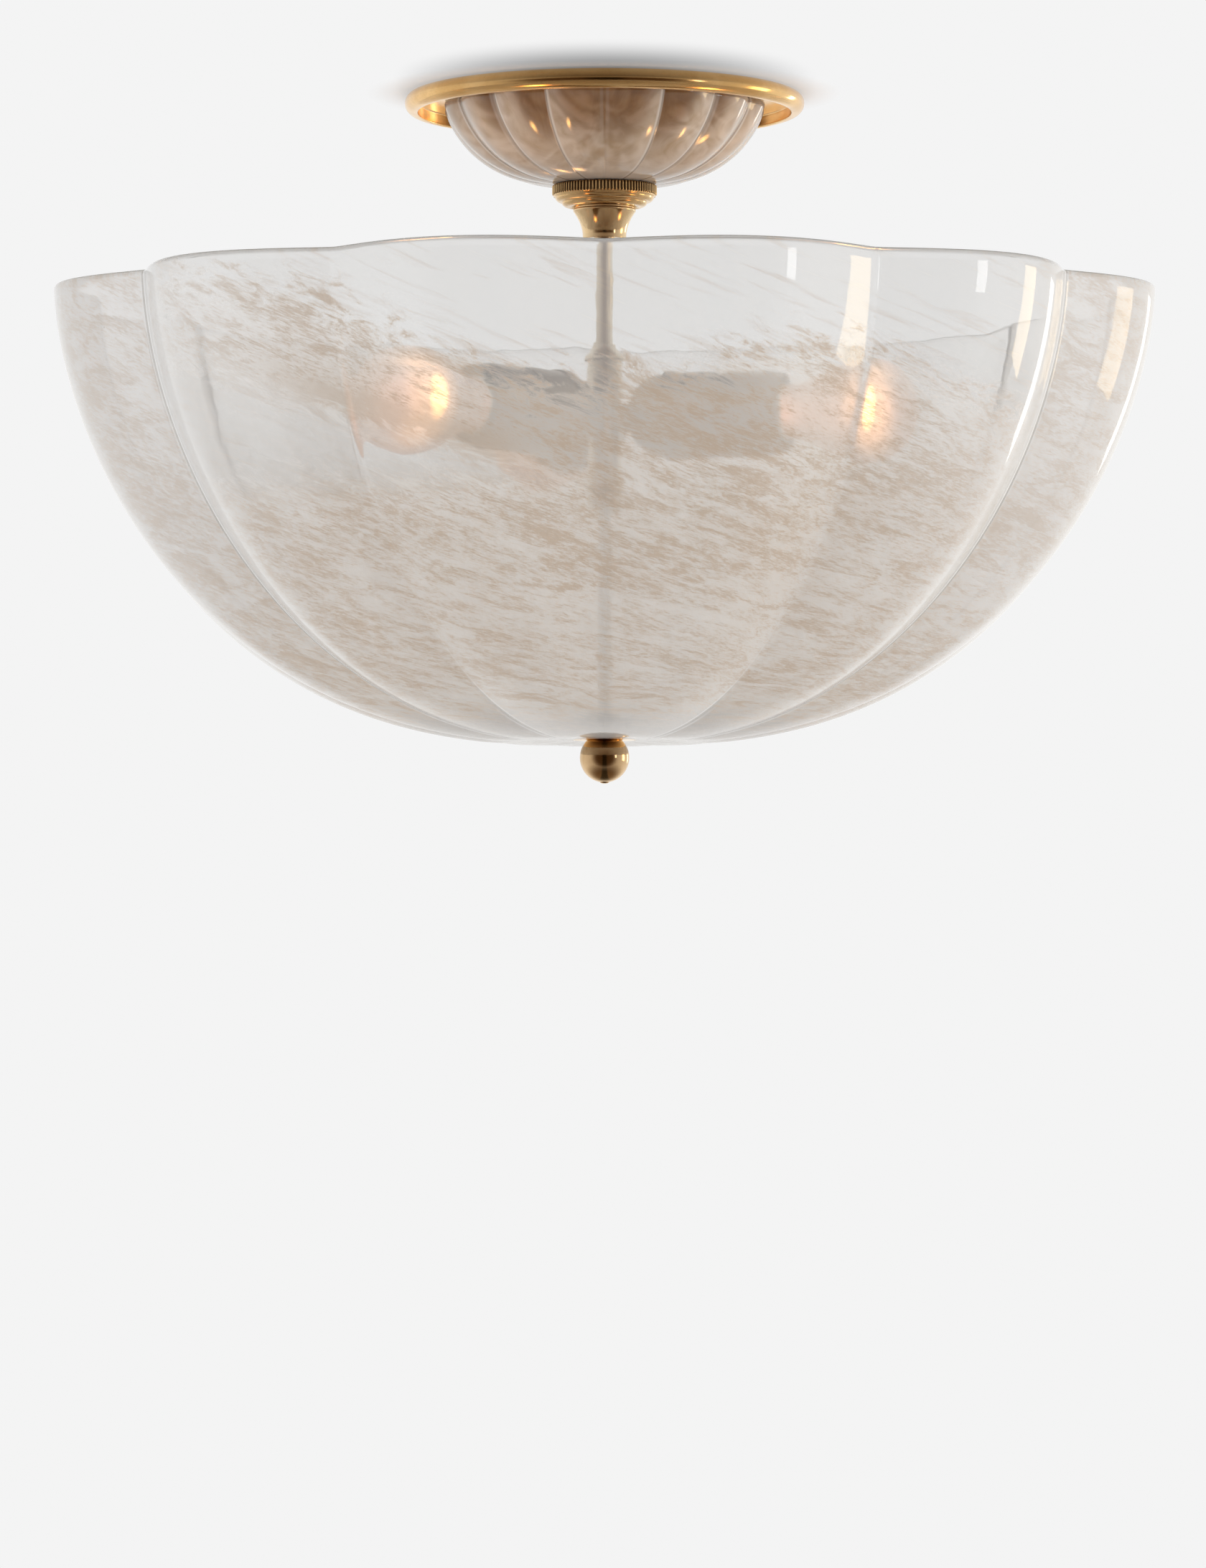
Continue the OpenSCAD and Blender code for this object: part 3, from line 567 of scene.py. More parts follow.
# %% Socket caps and shells
cap_start, cap_end, reach, wall = hub_r + 1.6, 33.0, 86.0, 0.8
shell_r = high("socket_shell_1") / mm - socket_z / mm - 0.5
throat = pipe_r + 1.6
bead_r = shell_r + 0.5
t = np.radians(np.linspace(0, 84, 16))
belly = np.stack([throat + 1.6 + (shell_r - throat - 2.5) * np.sin(t),
                  cap_end - 2 - (cap_end - cap_start - 7) * np.cos(t)], -1)
hollow = np.stack([throat + 0.8 + (shell_r - throat - 2.7) * np.sin(t),
                   cap_end - 2 - (cap_end - cap_start - 8) * np.cos(t)], -1)[::-1]
cap_profile = np.vstack([
    [[pipe_r, cap_start], [throat, cap_start], [throat, cap_start + 4.5]], belly,
    [[shell_r - 0.9, cap_end - 2.6], [bead_r, cap_end - 2.2], [bead_r, cap_end],
     [shell_r - 1.9, cap_end], [shell_r - 1.9, cap_end - 2]], hollow,
    [[pipe_r, cap_start + 6]]])
shell_profile = [
    [shell_r - wall, cap_end], [bead_r, cap_end], [bead_r, cap_end + 1.6],
    [shell_r, cap_end + 2.2], [shell_r, cap_end + 22], [shell_r - 0.6, cap_end + 23],
    [shell_r, cap_end + 24], [shell_r, reach - 9], [shell_r - 1.6, reach - 1.4],
    [shell_r - 1.4, reach - 0.7], [shell_r - 1.8, reach], [shell_r - 2.6, reach - 0.4],
    [shell_r - 2.6, reach - 1.6], [shell_r - wall - 0.1, reach - 9.2],
    [shell_r - wall, reach - 10]]
for i, angle in enumerate(directions, 1):
    cap = aimed(turned(f"cap_drawn_{i}", eased(cap_profile, 0.4) * mm, 96), angle)
    dress(cap, "fixture", socket_brass_painted_dark, f"socket_cap_{i}")
    shell = aimed(turned(f"shell_drawn_{i}", eased(shell_profile, 0.4) * mm, 96), angle)
    dress(shell, "fixture", socket_brass_painted_dark, f"socket_shell_{i}")

# %% [markdown]
# ## Bulbs
# The metal base carries a rolled screw thread, which is a wave that climbs one pitch in each
# turn. The envelope is blown glass with a white frosting inside, and it glows warm: most on the
# side of the ball, as a heart with a soft surround, and on the crown that faces up.

# %% Bulbs
base_r, bulb_r, bulb_wall, tip = 13.15, 24.0, 0.8, 147.0
neck_start, swell_start, centre = 72.4, 89.0, tip - bulb_r
base_foot, base_end, base_sheet, eyelet_r = 64.4, 86.0, 0.4, 5.0
thread_start, thread_end, thread_rows, fade_rows = 67.3, 84.6, 60, 5
pitch, thread_depth = 3.63, 0.38
heart_out, heart_length, heart_height = 128.5 * mm, 3.6 * mm, 8 * mm


def lamp_envelope(inset):
    """Neck of radius base_r - 0.4 that swells as sin^1.6 to a half ball at the tip."""
    neck_r = base_r - base_sheet
    u = np.linspace(neck_start, centre, 40)[:-1]
    swell = np.sin(np.pi / 2 * np.clip((u - swell_start) / (centre - swell_start), 0, 1)) ** 1.6
    neck_side = np.stack([neck_r + (bulb_r - neck_r) * swell - inset, u], -1)
    t = np.radians(np.linspace(0, 90, 28))
    ball = np.stack([(bulb_r - inset) * np.cos(t), centre + (bulb_r - inset) * np.sin(t)], -1)
    return np.vstack([neck_side, ball])


def rolled_base():
    """Radius less depth (0.5 - 0.5 cos(2 pi z / pitch - a)) over the thread, faded at its ends."""
    tip_rows = [[eyelet_r, base_foot], [base_r - 2.6, base_foot], [base_r, base_foot + 2.6]]
    thread = np.stack([np.full(thread_rows, base_r),
                       np.linspace(thread_start, thread_end, thread_rows)], -1)
    mouth = [[base_r, base_end - 1], [base_r - 0.3, base_end], [base_r - base_sheet, base_end]]
    lining = [[base_r - base_sheet, base_foot + 2.8], [base_r - 2.8, base_foot + base_sheet],
              [eyelet_r, base_foot + base_sheet]]
    r, z = np.vstack([tip_rows, thread, mouth, lining]).T[:, :, None]
    n = np.arange(thread_rows)
    fade = np.clip(np.minimum(n, n[::-1]) / fade_rows, 0, 1)
    cut = np.concatenate([np.zeros(len(tip_rows)), fade, np.zeros(len(mouth + lining))])
    a = whole_turn(72)
    climb = 0.5 - 0.5 * np.cos(2 * np.pi * z / pitch - a)
    return around(r - thread_depth * cut[:, None] * climb, z, a) * mm


def bulb_finish():
    """Frosted glass with a heart at heart_out from the axis and at the height of the sockets."""
    f = Finish("bulb_glass")
    place = f.place()
    x, y, z = f.parts(place)
    out = ((x * x + y * y) ** 0.5 - heart_out) / heart_length
    above = (z - socket_z) / heart_height
    distance = out * out + above * above
    heart = distance.rise(2.2, 0.0) * 0.26 + distance.rise(16, 0.0) * 0.045
    facing = 1 - f.grazing()
    crown = (z - socket_z).rise(12 * mm, 22 * mm) * facing ** 8
    core = (crown * 0.8 + facing ** 2 * heart).least(1)
    halo = f.colours(facing ** 5, tint(0.004, 0.001, 0.0), tint(0.030, 0.010, 0.003))
    glow = f.colours(core, halo, tint(1.0, 0.48, 0.13))
    frost = f.noise(place, 55, 3, 0.55).rise(0.3, 0.7)
    white = f.colours(frost, tint(0.88, 0.84, 0.78), tint(0.80, 0.76, 0.70))
    return f.done(f.surface(Base_Color=white, Roughness=0.18,
                            Emission_Color=glow, Emission_Strength=36.0))


bulb_glow = bulb_finish()
base_grid = rolled_base()
envelope = np.vstack([lamp_envelope(0), lamp_envelope(bulb_wall)[::-1]])
for i, angle in enumerate(directions, 1):
    base = aimed(sheet_mesh(f"base_rolled_{i}", base_grid), angle)
    dress(base, f"bulb_{i}", shell_metal, f"bulb_base_{i}")
    bulb = aimed(turned(f"bulb_blown_{i}", envelope * mm, 96, 2 * mm), angle)
    dress(bulb, f"bulb_{i}", bulb_glow, f"bulb_glass_{i}")

# %% [markdown]
# ## Lobed glass
# Both glasses are blown into a ribbed mould. The outer skin takes the ribs, each crease a soft
# valley, while the inner skin stays a little smoother because the glass flows. The law of the skin
# is a superellipse for the profile times a wave round the axis. Each point also remembers where it
# lies along the profile, so that the streaks of the glass can be drawn out the way they were
# in the melt, lying round the bowl and not down it.


# %% Glass skins
def ease(x, start, end):
    """Smooth step: 0 at start, 1 at end, 3t^2 - 2t^3 between."""
    t = np.clip((x - start) / (end - start), 0, 1)
    return t * t * (3 - 2 * t)


def lobes(angle, count, sharp, soft):
    """0 in a crease, 1 on a lobe: |sin(count a / 2)|^sharp, its valley rounded by soft."""
    wave = np.sqrt(np.sin(count / 2 * angle) ** 2 + soft**2)
    return ((wave - soft) / (math.sqrt(1 + soft**2) - soft)) ** sharp


def even_rows(first, last, count, curve):
    """Angles from first to last, in degrees, that cut curve(t) = (r, z) into equal lengths."""
    t = np.radians(np.linspace(first, last, 3000))
    r, z = curve(t)
    s = np.concatenate([[0], np.cumsum(np.hypot(np.diff(r), np.diff(z)))])
    return np.interp(np.linspace(0, s[-1], count), s, t)


def gathered(count, per_lobe, pull=0.85):
    """Angles (n + u - pull sin(2 pi u) / (2 pi)) 2 pi / count: closest in the creases."""
    u = np.arange(per_lobe) / per_lobe
    step = u - pull * np.sin(2 * np.pi * u) / (2 * np.pi)
    return ((np.arange(count)[:, None] + step) * 2 * np.pi / count).ravel()


def crease_line(grid, angle, count, width):
    """exp(-(d / width)^2), d the distance from the nearest crease along the skin."""
    share = np.abs((angle * count / (2 * np.pi) + 0.5) % 1 - 0.5)
    d = share * 2 * np.pi / count * np.hypot(grid[..., 0], grid[..., 1])
    return np.exp(-((d / width) ** 2))


def level_rows(angle, *points):
    """One row round the axis for each (r, z)."""
    return np.stack([around(r, z, angle) for r, z in points])


def rounded_rim(outer_row, inner_row, top, steps=9):
    """Half circle from the outer row over the rim at height top to the inner row."""
    w = np.radians(np.linspace(0, 180, steps + 2)[1:-1])[:, None, None]
    middle, arm = (outer_row + inner_row) / 2, (outer_row - inner_row) / 2
    path = middle + arm * np.cos(w)
    path[..., 2] += (top - middle[:, 2]) * np.sin(w)[..., 0]
    return path


def glass_mesh(name, outer, seat, inner, top, angle, count, under=0):
    """One closed glass of outer skin, seat, inner skin and a rim rounded up to height top.

    The first rows of the seat, under of them, still belong to the outer skin. Each point holds
    flow, which is (x, y, length along the profile), skin, which is 1 outside, vein, which is 1
    along a crease, and lip, which is sin(w)^2 over the half circle w of the rim.
    """
    rim_rows = rounded_rim(outer[0], inner[-1], top)[::-1]
    grid = np.concatenate([outer, seat, inner, rim_rows]) * mm
    outside, lip_rows = len(outer) + under, len(rim_rows)
    steps = np.linalg.norm(np.diff(grid, axis=0), axis=2)
    length = np.concatenate([np.zeros((1, grid.shape[1])), np.cumsum(steps, 0)])
    length[outside:] = 2 * length[outside - 1] - length[outside:]
    length[-lip_rows:] = 0
    skin, lip = np.zeros(grid.shape[:2]), np.zeros(grid.shape[:2])
    skin[:outside] = 1
    skin[-lip_rows:] = 1
    w = np.linspace(np.pi, 0, lip_rows + 2)[1:-1]
    lip[-lip_rows:] = np.sin(w)[:, None] ** 2
    flow = np.stack([grid[..., 0], grid[..., 1], length], -1)
    vein = crease_line(grid, angle, count, 1.5 * mm)
    return sheet_mesh(name, grid, {"flow": flow, "skin": skin, "vein": vein, "lip": lip})


# %% [markdown]
# ## The bowl
# Twelve lobes, a rim at the top, and a flat seat at the bottom that the washer clamps. The depth
# of a crease grows towards the bottom, and the whole wave dies away before the seat, where the
# real glass was ground flat. The rim is fire-polished, so its edge is half a circle.

# %% Bowl
bowl_r, bowl_depth, bowl_wall = 253.9, 204.6, 4.0
bowl_side, bowl_floor = 2 / 2.604, 2 / 1.689
rim = rim_z / mm
seat_z = low("bowl_glass") / mm
seat_top = seat_z + bowl_wall
bowl_hole, seat_r, dimple_r = 7.0, 16.5, 67.0
bowl_lobes, lobe_power = 12, 1.17
rim_crease, added_crease = 0.075, 0.055
bowl_span = (1.3, 88.3)


def bowl_curve(t, inset=0.0):
    """Radius (R - inset) cos(t)^0.768 and height rim - (depth - inset) sin(t)^1.184.

    From dimple_r inwards the height eases down to the flat seat.
    """
    r = (bowl_r - inset) * np.cos(t) ** bowl_side
    z = rim - (bowl_depth - inset) * np.sin(t) ** bowl_floor
    floor = seat_z + inset
    return r, floor + (z - floor) * ease(r, seat_r, dimple_r)


def bowl_skin(t, angle, inset, soft, relief):
    """Curve times 1 - relief (0.075 + 0.055 s^3) fade (1 - lobe), s the share of the depth."""
    r0, z = bowl_curve(t, inset)
    s = np.sin(t) ** bowl_floor
    crease = (rim_crease + added_crease * s**3) * ease(r0, seat_r - 2, seat_r + 14) * relief
    r = r0[:, None] * (1 - crease[:, None] * (1 - lobes(angle, bowl_lobes, lobe_power, soft)))
    return around(r, z[:, None], angle)


a = gathered(bowl_lobes, 40)
outer = bowl_skin(even_rows(*bowl_span, 84, bowl_curve), a, 0, soft=0.03, relief=1.0)
inner = bowl_skin(even_rows(*bowl_span, 62, bowl_curve), a, bowl_wall, soft=0.04, relief=0.99)
seat = level_rows(a, (seat_r - 0.5, seat_z), (13, seat_z), (10, seat_z), (bowl_hole + 0.4, seat_z),
                  (bowl_hole, seat_z + 0.5), (bowl_hole, seat_top - 0.5),
                  (bowl_hole + 0.4, seat_top), (10, seat_top), (13, seat_top), (seat_r, seat_top))
bowl = glass_mesh("bowl_blown", outer, seat, inner[::-1], rim, a, bowl_lobes, under=4)

# %% [markdown]
# ## Streaks in the glass
# The glass carries drifts of warm, milky threads, drawn out as the gather was turned, so they lie
# along the bowl and slope a little. A slow noise sets where the drifts lie, a warped one tears
# them into wisps and a fine one combs the wisps into fibres.
#
# Where the milk lies is placed one by one. The four lobes that face the viewer keep a clear band
# under the rim, whose lower border wanders. The lobes beside them are milky up to the rim, and on
# the far side the milk sets in slowly below it. On the viewer's left a clear window opens along a
# sloping line, with a taupe ledge above it. The threads grow calmer towards both sides, and round
# the foot the milk is thin and grey.


# %% Bowl streaks
streak_slope, band_slope, window_slope = 0.42, 0.12, 0.19
band_width, band_wave = 34 * mm, 17 * mm
window_depth, window_edge, window_opening = 109 * mm, 20 * mm, 0.20
foot_start, foot_end = 70 * mm, 110 * mm


def bowl_streaks(f, x, y, length, reach, back):
    """Shares of milky body, of threads, of calm at the sides, and of glass clear of the foot."""
    slant = f.joined(x, y, length - x * streak_slope + y * 0.10)
    drift = f.noise(f.stretched(slant, (1, 1, 2.2)), 7.0, 2, 0.5, 0.5)
    wisps = f.noise(f.stretched(slant, (1, 1, 3.0)), 42, 9, 0.72, 0.9)
    fibres = f.noise(f.stretched(slant, (1, 1, 6.0)), 260, 4, 0.75, 0.3)
    threads = f.noise(f.stretched(slant, (0.5, 0.5, 6.0)), 46, 6, 0.6, 0.5)
    amount = wisps + (fibres - 0.5) * 0.85 + (drift - 0.5) * 0.28
    ragged = wisps - 0.5
    root_3 = 1.732
    right, left = x + y * root_3, y * root_3 - x
    off_front = right.rise(-4 * mm, 6 * mm).most(left.rise(-4 * mm, 6 * mm))
    front = (1 - off_front) * (1 - back)

    band = band_width + x * band_slope + (x * 23.3 + 2.2).sine() * band_wave
    border = (length - (band + 10 * mm) * (1 - off_front) + off_front * (30 * mm)
              + ragged * (90 * mm))
    body = border.rise(-6 * mm, 10 * mm) * (1 - back) + length.rise(0.0, 100 * mm) * back

    off_line = length - window_depth - x * window_slope
    half = (0 - x - window_edge) * window_opening
    window = half - (off_line * off_line) ** 0.5 + ragged * (60 * mm)
    body = body * (1 - window.rise(-6 * mm, 14 * mm) * front * 0.75)
    above = 0 - off_line - half + ragged * (50 * mm)
    ledge = (above.rise(-5 * mm, 1 * mm) * above.rise(20 * mm, 6 * mm) * half.rise(0.0, 6 * mm)
             * x.rise(-170 * mm, -110 * mm) * front * (0.45 + fibres * 0.6))

    calm = (x * x).rise(0.006, 0.040)
    off_foot = (reach + ragged * (60 * mm)).rise(foot_start, foot_end)
    dense = (amount.rise(0.39, 0.66) * body * (0.25 + off_foot * 0.75) * (1 - calm * 0.40)
             + threads.rise(0.52, 0.72) * 0.6 * (1 - body)).most(ledge)
    return body, dense, calm, off_foot


# %% [markdown]
# ## From streaks to glass
# Where the share of milk is low the wall is clear glass, and where it is high it scatters the
# light. Towards its outline every lobe turns pale, a painted sheen. A crease is a thin dark line of
# painted shade with a pale shoulder of painted highlight on each side, and it shows where the wall
# turns aside from the viewer.


# %% Bowl finish
def seeds(f, flow, scale, size):
    """Small bubbles: 1 inside a dark ring of that size, a painted shade, and 1 inside its bright
    middle, a painted glint.
    """
    d = f.add("ShaderNodeTexVoronoi", {"feature": "F1"}, {"Vector": flow, "Scale": scale},
              out="Distance") * (1 / scale)
    return d.rise(size, size * 0.7), d.rise(size * 0.5, size * 0.3)


def painted_crease_marks(f, shown):
    """Shares of the painted highlight on the pale shoulders and of the painted shade on the dark
    line of a crease, where it is shown.
    """
    vein = f.attribute("vein")
    return vein.rise(0.04, 0.30) * shown, vein.rise(0.45, 0.85) * shown


def bowl_creases(x, reach, sideways, grazing):
    """Painted crease marks show where the wall turns sideways, most at left and right, and near the
    foot.
    """
    across = x * x / (reach * reach)
    low_crease = across.rise(0.10, 0.20) * reach.rise(140 * mm, 85 * mm)
    turned_off = sideways.rise(0.30, 0.47) * (0.2 + across.rise(0.30, 0.60) * 0.8)
    return turned_off.most(low_crease * grazing.rise(0.5, 0.7) * 0.8)


def milky_glass(f, share, colour, through, relief, ior, clear_colour, clear_rough, **coat):
    """Clear glass where share is 0, milk where it is 1; through is how much milk lets light in."""
    clear = f.surface(Base_Color=clear_colour, Roughness=clear_rough, IOR=ior,
                      Transmission_Weight=1.0, Normal=relief)
    sheen = f.surface(Base_Color=colour, Roughness=0.05, IOR=ior, Normal=relief, **coat)
    glow = f.add("ShaderNodeBsdfTranslucent", {}, {"Color": colour, "Normal": relief})
    return f.done(f.blend(share, clear, f.blend(through, sheen, glow)))


def bowl_finish():
    """The milk's colour goes on in layers, over clear glass that shows where share is low."""
    f = Finish("bowl_glass")
    flow = f.attribute("flow", "Vector")
    x, y, length = f.parts(flow)
    reach = (x * x + y * y) ** 0.5
    back = y.rise(-20 * mm, 50 * mm)
    body, dense, calm, off_foot = bowl_streaks(f, x, y, length, reach, back)

    grazing, sideways = f.grazing(), f.turned_away()
    # Painted sheen: white pales each lobe towards its outline and where it turns sideways, and the
    # outline glint is a painted highlight.
    white = (sideways.rise(0.42, 0.92).most(grazing.rise(0.60, 0.98))
             * reach.rise(80 * mm, 170 * mm, 0.25, 1.0))
    painted_outline_glint = grazing.rise(0.88, 1.0) * 0.6
    painted_shoulder_highlight, line = painted_crease_marks(f, bowl_creases(x, reach, sideways, grazing))
    ring, painted_bubble_glint = seeds(f, flow, 24, 0.9 * mm)
    lip = f.attribute("lip").rise(0.3, 0.9) * (1 - back * 0.5)

    # Of these colours the pale outline tone is a painted sheen, the near-white one the painted
    # highlights, and the two dark browns the painted shade of a crease and of a bubble.
    clear_grey, cream, ivory = (tint(0.76, 0.755, 0.745), tint(0.885, 0.840, 0.785),
                                tint(0.915, 0.90, 0.885))
    foot_grey, taupe, outline = (tint(0.64, 0.61, 0.58), tint(0.66, 0.54, 0.43),
                                 tint(0.745, 0.74, 0.73))
    light, painted_crease_shade, painted_bubble_shade = (tint(0.95, 0.95, 0.95), tint(0.40, 0.37, 0.33),
                                     tint(0.40, 0.36, 0.32))
    pale = f.layered(clear_grey, (body, cream), (calm * body, ivory))
    colour = f.layered(f.colours(off_foot, foot_grey, pale), (dense, taupe),
                       (white * 0.85, outline), ((painted_outline_glint + painted_shoulder_highlight).least(1) * 0.85, light),
                       (line * (0.75 - back * 0.6), painted_crease_shade), (ring * 0.5, painted_bubble_shade),
                       (painted_bubble_glint, light), (lip, tint(0.36, 0.35, 0.30)))

    haze = 0.42 - back * 0.30 + body * (back * 0.30 + 0.26) + dense * 0.22
    share = 1 - (1 - haze) * (1 - white)
    share = share.most(f.attribute("vein").rise(0.0, 0.35) * back * 0.85)
    share = share.most(lip * 0.85).most(ring) * f.attribute("skin")
    relief = f.bump(f.noise(f.stretched(flow, (1, 1, 1.6)), 34, 2, 0.5), 0.8 * mm, 0.12)
    return milky_glass(f, share, colour, (1 - white) * 0.32, relief, 1.47,
                       tint(0.975, 0.970, 0.962), body * 0.04 + 0.02)


dress(bowl, "bowl", bowl_finish(), "bowl_glass")

# %% [markdown]
# ## The dome
# The small dome under the pan is a shallow cousin of the bowl with sixteen narrower flutes. Its
# glass is denser, and seen against the dark inside of the pan it turns taupe.

# %% Dome
dome_r, dome_depth, dome_wall = 74.8, 38.5, 3.5
dome_side, dome_floor = 2 / 3.319, 2 / 1.408
dome_rim = high("dome_glass") / mm
dome_foot = low("dome_glass") / mm
dome_hole, hole_round, rim_margin = 16.1, 0.3, 0.9
flutes = 16


def dome_curve(t, inset=0.0):
    """Radius (R - inset) cos(t)^0.603 and height zero - (depth - inset) sin(t)^1.420.

    zero lies rim_margin above the rim, and the height stops as far below it and at the foot.
    """
    r = (dome_r - inset) * np.cos(t) ** dome_side
    z = dome_rim + rim_margin - (dome_depth - inset) * np.sin(t) ** dome_floor
    return r, np.clip(z, dome_foot + inset, dome_rim - rim_margin)


def dome_skin(t, angle, inset, soft, relief):
    """Curve times 1 - relief fade (1 - lobe)."""
    r0, z = dome_curve(t, inset)
    crease = relief * ease(r0, 17, 26)
    r = r0[:, None] * (1 - crease[:, None] * (1 - lobes(angle, flutes, 1.0, soft)))
    return around(r, z[:, None], angle)


a = gathered(flutes, 24, 0.7)
outer = dome_skin(even_rows(10, 84.5, 46, dome_curve), a, 0, soft=0.04, relief=0.045)
inner = dome_skin(even_rows(15, 83, 34, dome_curve), a, dome_wall, soft=0.16, relief=0.043)
foot_top = dome_foot + dome_wall
seat = level_rows(a, (dome_hole + hole_round, dome_foot), (dome_hole, dome_foot + hole_round),
                  (dome_hole, foot_top - hole_round), (dome_hole + hole_round, foot_top))
dome = glass_mesh("dome_blown", outer, seat, inner[::-1], dome_rim, a, flutes)


def dome_finish():
    """Swirls are 0.5 + 0.5 sin(k n), n a warped slow noise, so they close like agate bands."""
    f = Finish("dome_glass")
    flow = f.attribute("flow", "Vector")
    slow = f.noise(flow, 17, 2, 0.45, 1.6)
    swirl = (slow * 34).sine() * 0.5 + 0.5
    cloud = f.noise(f.stretched(flow, (1, 1, 0.5)), 60, 5, 0.6, 1.2)
    dense = swirl * 0.55 + cloud.rise(0.38, 0.62) * 0.45
    grazing = f.grazing()
    # Painted shade and sheen: seen square on the dome takes the brown of its dark inside seen
    # through it, towards the outline it is painted pale, and its crease marks are painted highlight
    # and shade.
    white, square = grazing.rise(0.35, 0.98), grazing.rise(0.36, 0.06)
    painted_shoulder_highlight, line = painted_crease_marks(f, f.turned_away().rise(0.02, 0.25))
    taupe = f.colours(dense, tint(0.85, 0.74, 0.62), tint(0.56, 0.43, 0.30))
    painted_inside_shade = f.colours(dense, tint(0.38, 0.19, 0.07), tint(0.20, 0.085, 0.020))
    colour = f.layered(taupe, (square * 0.92, painted_inside_shade), (white, tint(0.84, 0.80, 0.75)),
                       (painted_shoulder_highlight * 0.6, tint(0.95, 0.93, 0.90)),
                       (line * 0.6, tint(0.26, 0.17, 0.10)))
    share = (0.88 + dense * 0.08) * f.attribute("skin")
    relief = f.bump(f.noise(flow, 60, 2, 0.5), 0.5 * mm, 0.3)
    return milky_glass(f, share, colour, 0.12, relief, 1.5, tint(0.93, 0.90, 0.86), 0.03,
                       Coat_Weight=0.35, Coat_Roughness=0.03)


dress(dome, "dome", dome_finish(), "dome_glass")

# %% [markdown]
# ## Washer and ball
# The washer has a narrow bevel, and the ball is turned from bar with a small nub left at the
# bottom. Both are closed profiles that reach the bore of the rod.

# %% Washer and finial
washer_top, washer_foot = high("seat_washer") / mm, low("seat_washer") / mm
washer_r = high("seat_washer", 0) / mm
rod_bore = 3.225
washer_profile = [[rod_bore, washer_top], [washer_r, washer_top], [washer_r, washer_top - 0.5],
                  [washer_r - 1.6, washer_foot], [rod_bore, washer_foot]]
washer = turned("washer_turned", eased(washer_profile, 0.3) * mm, 160, 0.6 * mm)
dress(washer, "seat", turned_brass, "seat_washer")

ball_top, ball_foot = high("ball_finial") / mm, low("ball_finial") / mm
ball_r, ball_flat, nub_r, nub_h, nub_angle, well_depth = 11.3, 8.0, 2.2, 0.9, 0.19, 10.0
ball_mid = ball_top - math.sqrt(ball_r**2 - ball_flat**2)
t = np.linspace(math.acos((ball_top - ball_mid) / ball_r), math.pi - nub_angle, 60)
ball_side = np.stack([ball_r * np.sin(t), ball_mid + ball_r * np.cos(t)], -1)
nub_t = np.radians(np.linspace(0, 90, 10))
nub = np.stack([nub_r * np.cos(nub_t) ** 0.8, ball_foot + nub_h * (1 - np.sin(nub_t))], -1)
well = ball_top - well_depth
ball_profile = np.vstack([[[rod_bore, well], [rod_bore, ball_top]], ball_side, nub, [[0, well]]])
ball = turned("ball_turned", ball_profile * mm, 160, 0.6 * mm)
dress(ball, "finial", ball_brass, "ball_finial")

# %% [markdown]
# ## Ceiling and room
# The light hangs from a pale ceiling. The ceiling is a disc that is real plaster near the light,
# so that it takes the soft shadow of the pan, and fades into the colour of the room further out.
# A painted shadow round the pan deepens that shadow, most on the viewer's side. Seen from above the
# disc lets the eye through, so the fixing can be looked at too.

# %% Ceiling
room = tint(0.904, 0.904, 0.904)
radius, rings, spokes, lift = 1.6, 24, 96, 0.4 * mm
pan_edge, plaster_end = 88 * mm, 110 * mm


def ceiling_finish():
    """Plaster at the pan, glowing air in the room's colour beyond it with a painted shadow near the
    pan, nothing from above.
    """
    f = Finish("ceiling")
    place = f.place()
    away = f.add("ShaderNodeVectorMath", {"operation": "LENGTH"}, {0: place}, out="Value")
    forward = (0 - f.parts(place)[1] / away).most(0) ** 2.6
    # Painted shadow: the glowing air is darkened round the pan, most on the viewer's side.
    shade = (away.rise(pan_edge, forward * (80 * mm) + 98 * mm, 0.67, 0.0)
             * (forward * 0.75 + 0.25))
    plaster = f.surface(Base_Color=tint(0.94, 0.94, 0.94), Roughness=0.9, Specular_IOR_Level=0.0)
    air = f.add("ShaderNodeEmission", {},
                {"Color": f.colours(shade, room, tint(0, 0, 0)), "Strength": 1.0})
    below = f.blend(away.rise(pan_edge, plaster_end, 0.6, 1.0), plaster, air)
    above = f.add("ShaderNodeBsdfTransparent")
    behind = f.add("ShaderNodeNewGeometry", out="Backfacing")
    return f.done(f.blend(behind, below, above))


r = np.linspace(0, radius, rings + 1)[:, None]
disc = around(r, 0 * r + lift, whole_turn(spokes))
ceiling = merged_mesh("ceiling", disc, grid_faces(rings + 1, spokes, closed=False))
ceiling.data.materials.append(ceiling_finish())

# %% [markdown]
# ## The room's light
# The room is a plain pale field. What polished brass shows is the viewer's side of the room, which
# is darker, so mirror rays see a field that darkens towards that side and towards the floor, most
# of all in its middle. Three soft lamps on the right, one of them warm, give the long highlights
# on the glass.


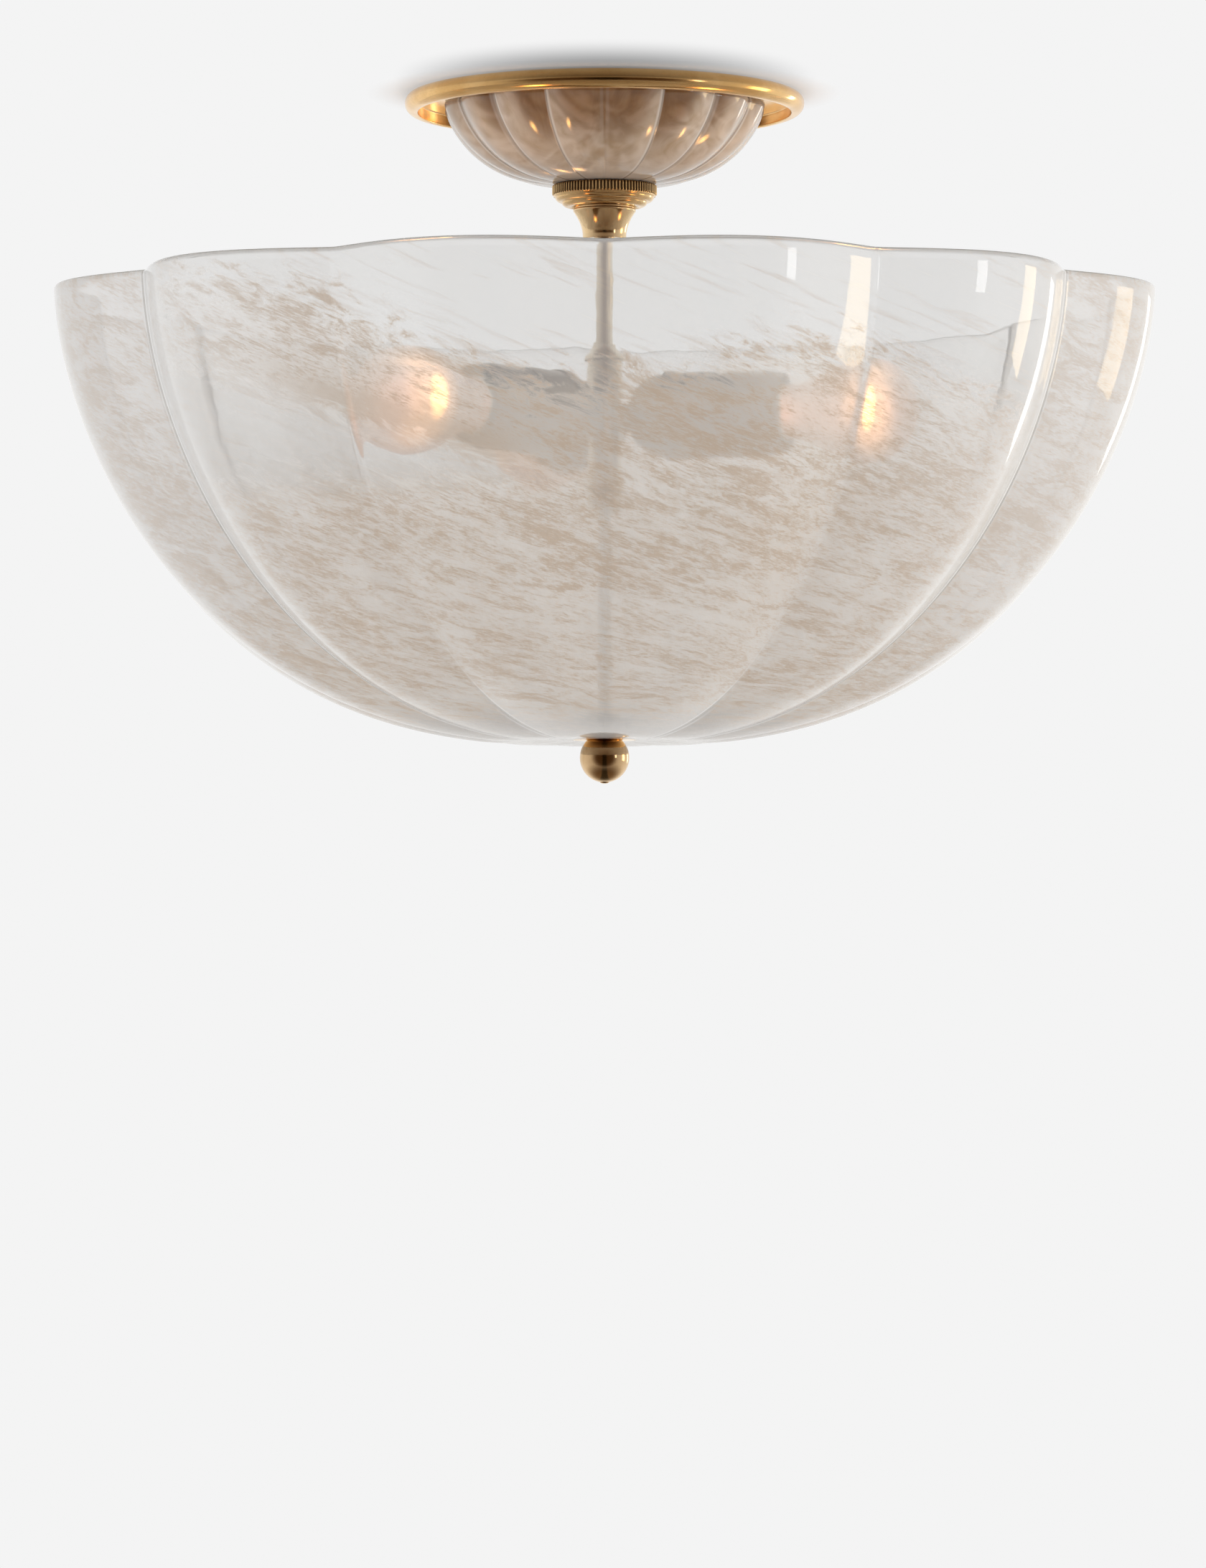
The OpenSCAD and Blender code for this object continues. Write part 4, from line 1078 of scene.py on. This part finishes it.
# %% World and lamps
def room_light():
    """The camera and rays through glass see the room's colour, mirror rays the darker field."""
    world = bpy.data.worlds.new("room")
    f = Finish("room", world)
    seen, through, mirror = (f.add("ShaderNodeLightPath", out=f"Is {kind} Ray")
                             for kind in ("Camera", "Transmission", "Glossy"))
    across, depth, height = f.parts(f.add("ShaderNodeTexCoord", out="Generated"))
    viewer_side = depth.rise(-0.85, -0.35, 1.0, 0.0)
    floor_side = height.rise(-0.95, -0.35, 1.0, 0.0)
    off_middle = (across * across).rise(0.015, 0.05)
    dim = f.colours(off_middle, tint(0.05, 0.038, 0.022), tint(0.19, 0.125, 0.07))
    mirrored = f.colours(viewer_side.most(floor_side), tint(0.96, 0.95, 0.93), dim)
    lit = f.colours(mirror, tint(0.95, 0.95, 0.95), mirrored)
    field = f.colours(seen.most(through), lit, room)
    return f.done(f.add("ShaderNodeBackground", {}, {"Color": field, "Strength": 1.0}))


def softbox(name, where, target, size, watts, colour=(1, 1, 1)):
    """A rectangular lamp that faces the target and stays out of the camera's sight."""
    data = bpy.data.lights.new(name, "AREA")
    data.shape, data.size, data.size_y = "RECTANGLE", *size
    data.energy, data.color = watts, colour
    lamp = bpy.data.objects.new(name, data)
    lamp.location = where
    reach = np.array(target) - np.array(where)
    lamp.rotation_euler = (math.acos(-reach[2] / np.linalg.norm(reach)), 0,
                           math.atan2(reach[1], reach[0]) - math.pi / 2)
    lamp.visible_camera = lamp.visible_transmission = False
    bpy.context.collection.objects.link(lamp)


bpy.context.scene.world = room_light()
middle = (0, 0, -0.17)
softbox("window_right", (1.5, -1.1, -0.1), middle, (0.22, 0.5), 2)
softbox("window_behind", (1.25, 1.30, -0.15), middle, (0.22, 0.7), 1.5, (1.0, 0.95, 0.88))
softbox("lamp_right", (1.55, 0.25, -0.24), middle, (0.40, 0.55), 3.2, (1.0, 0.74, 0.40))

# %% [markdown]
# ## Camera
# The viewing distance and height were found from the photograph: the ellipse of the rim and the
# ball's place below it leave one distance. The camera looks slightly upwards, which keeps every
# upright of the light upright enough that no shift is needed.

# %% Camera
lens = bpy.data.cameras.new("camera")
lens.lens, lens.sensor_width, lens.clip_start = 165.8, 36.0, 0.01
eye, upward_tilt = (-0.0007, -3.283, -0.4526), 2.396
camera = bpy.data.objects.new("camera", lens)
camera.location = eye
camera.rotation_euler = (math.radians(90 + upward_tilt), 0, 0)
bpy.context.collection.objects.link(camera)
scene = bpy.context.scene
scene.camera = camera
scene.view_settings.view_transform = "Standard"
scene.view_settings.look = "None"
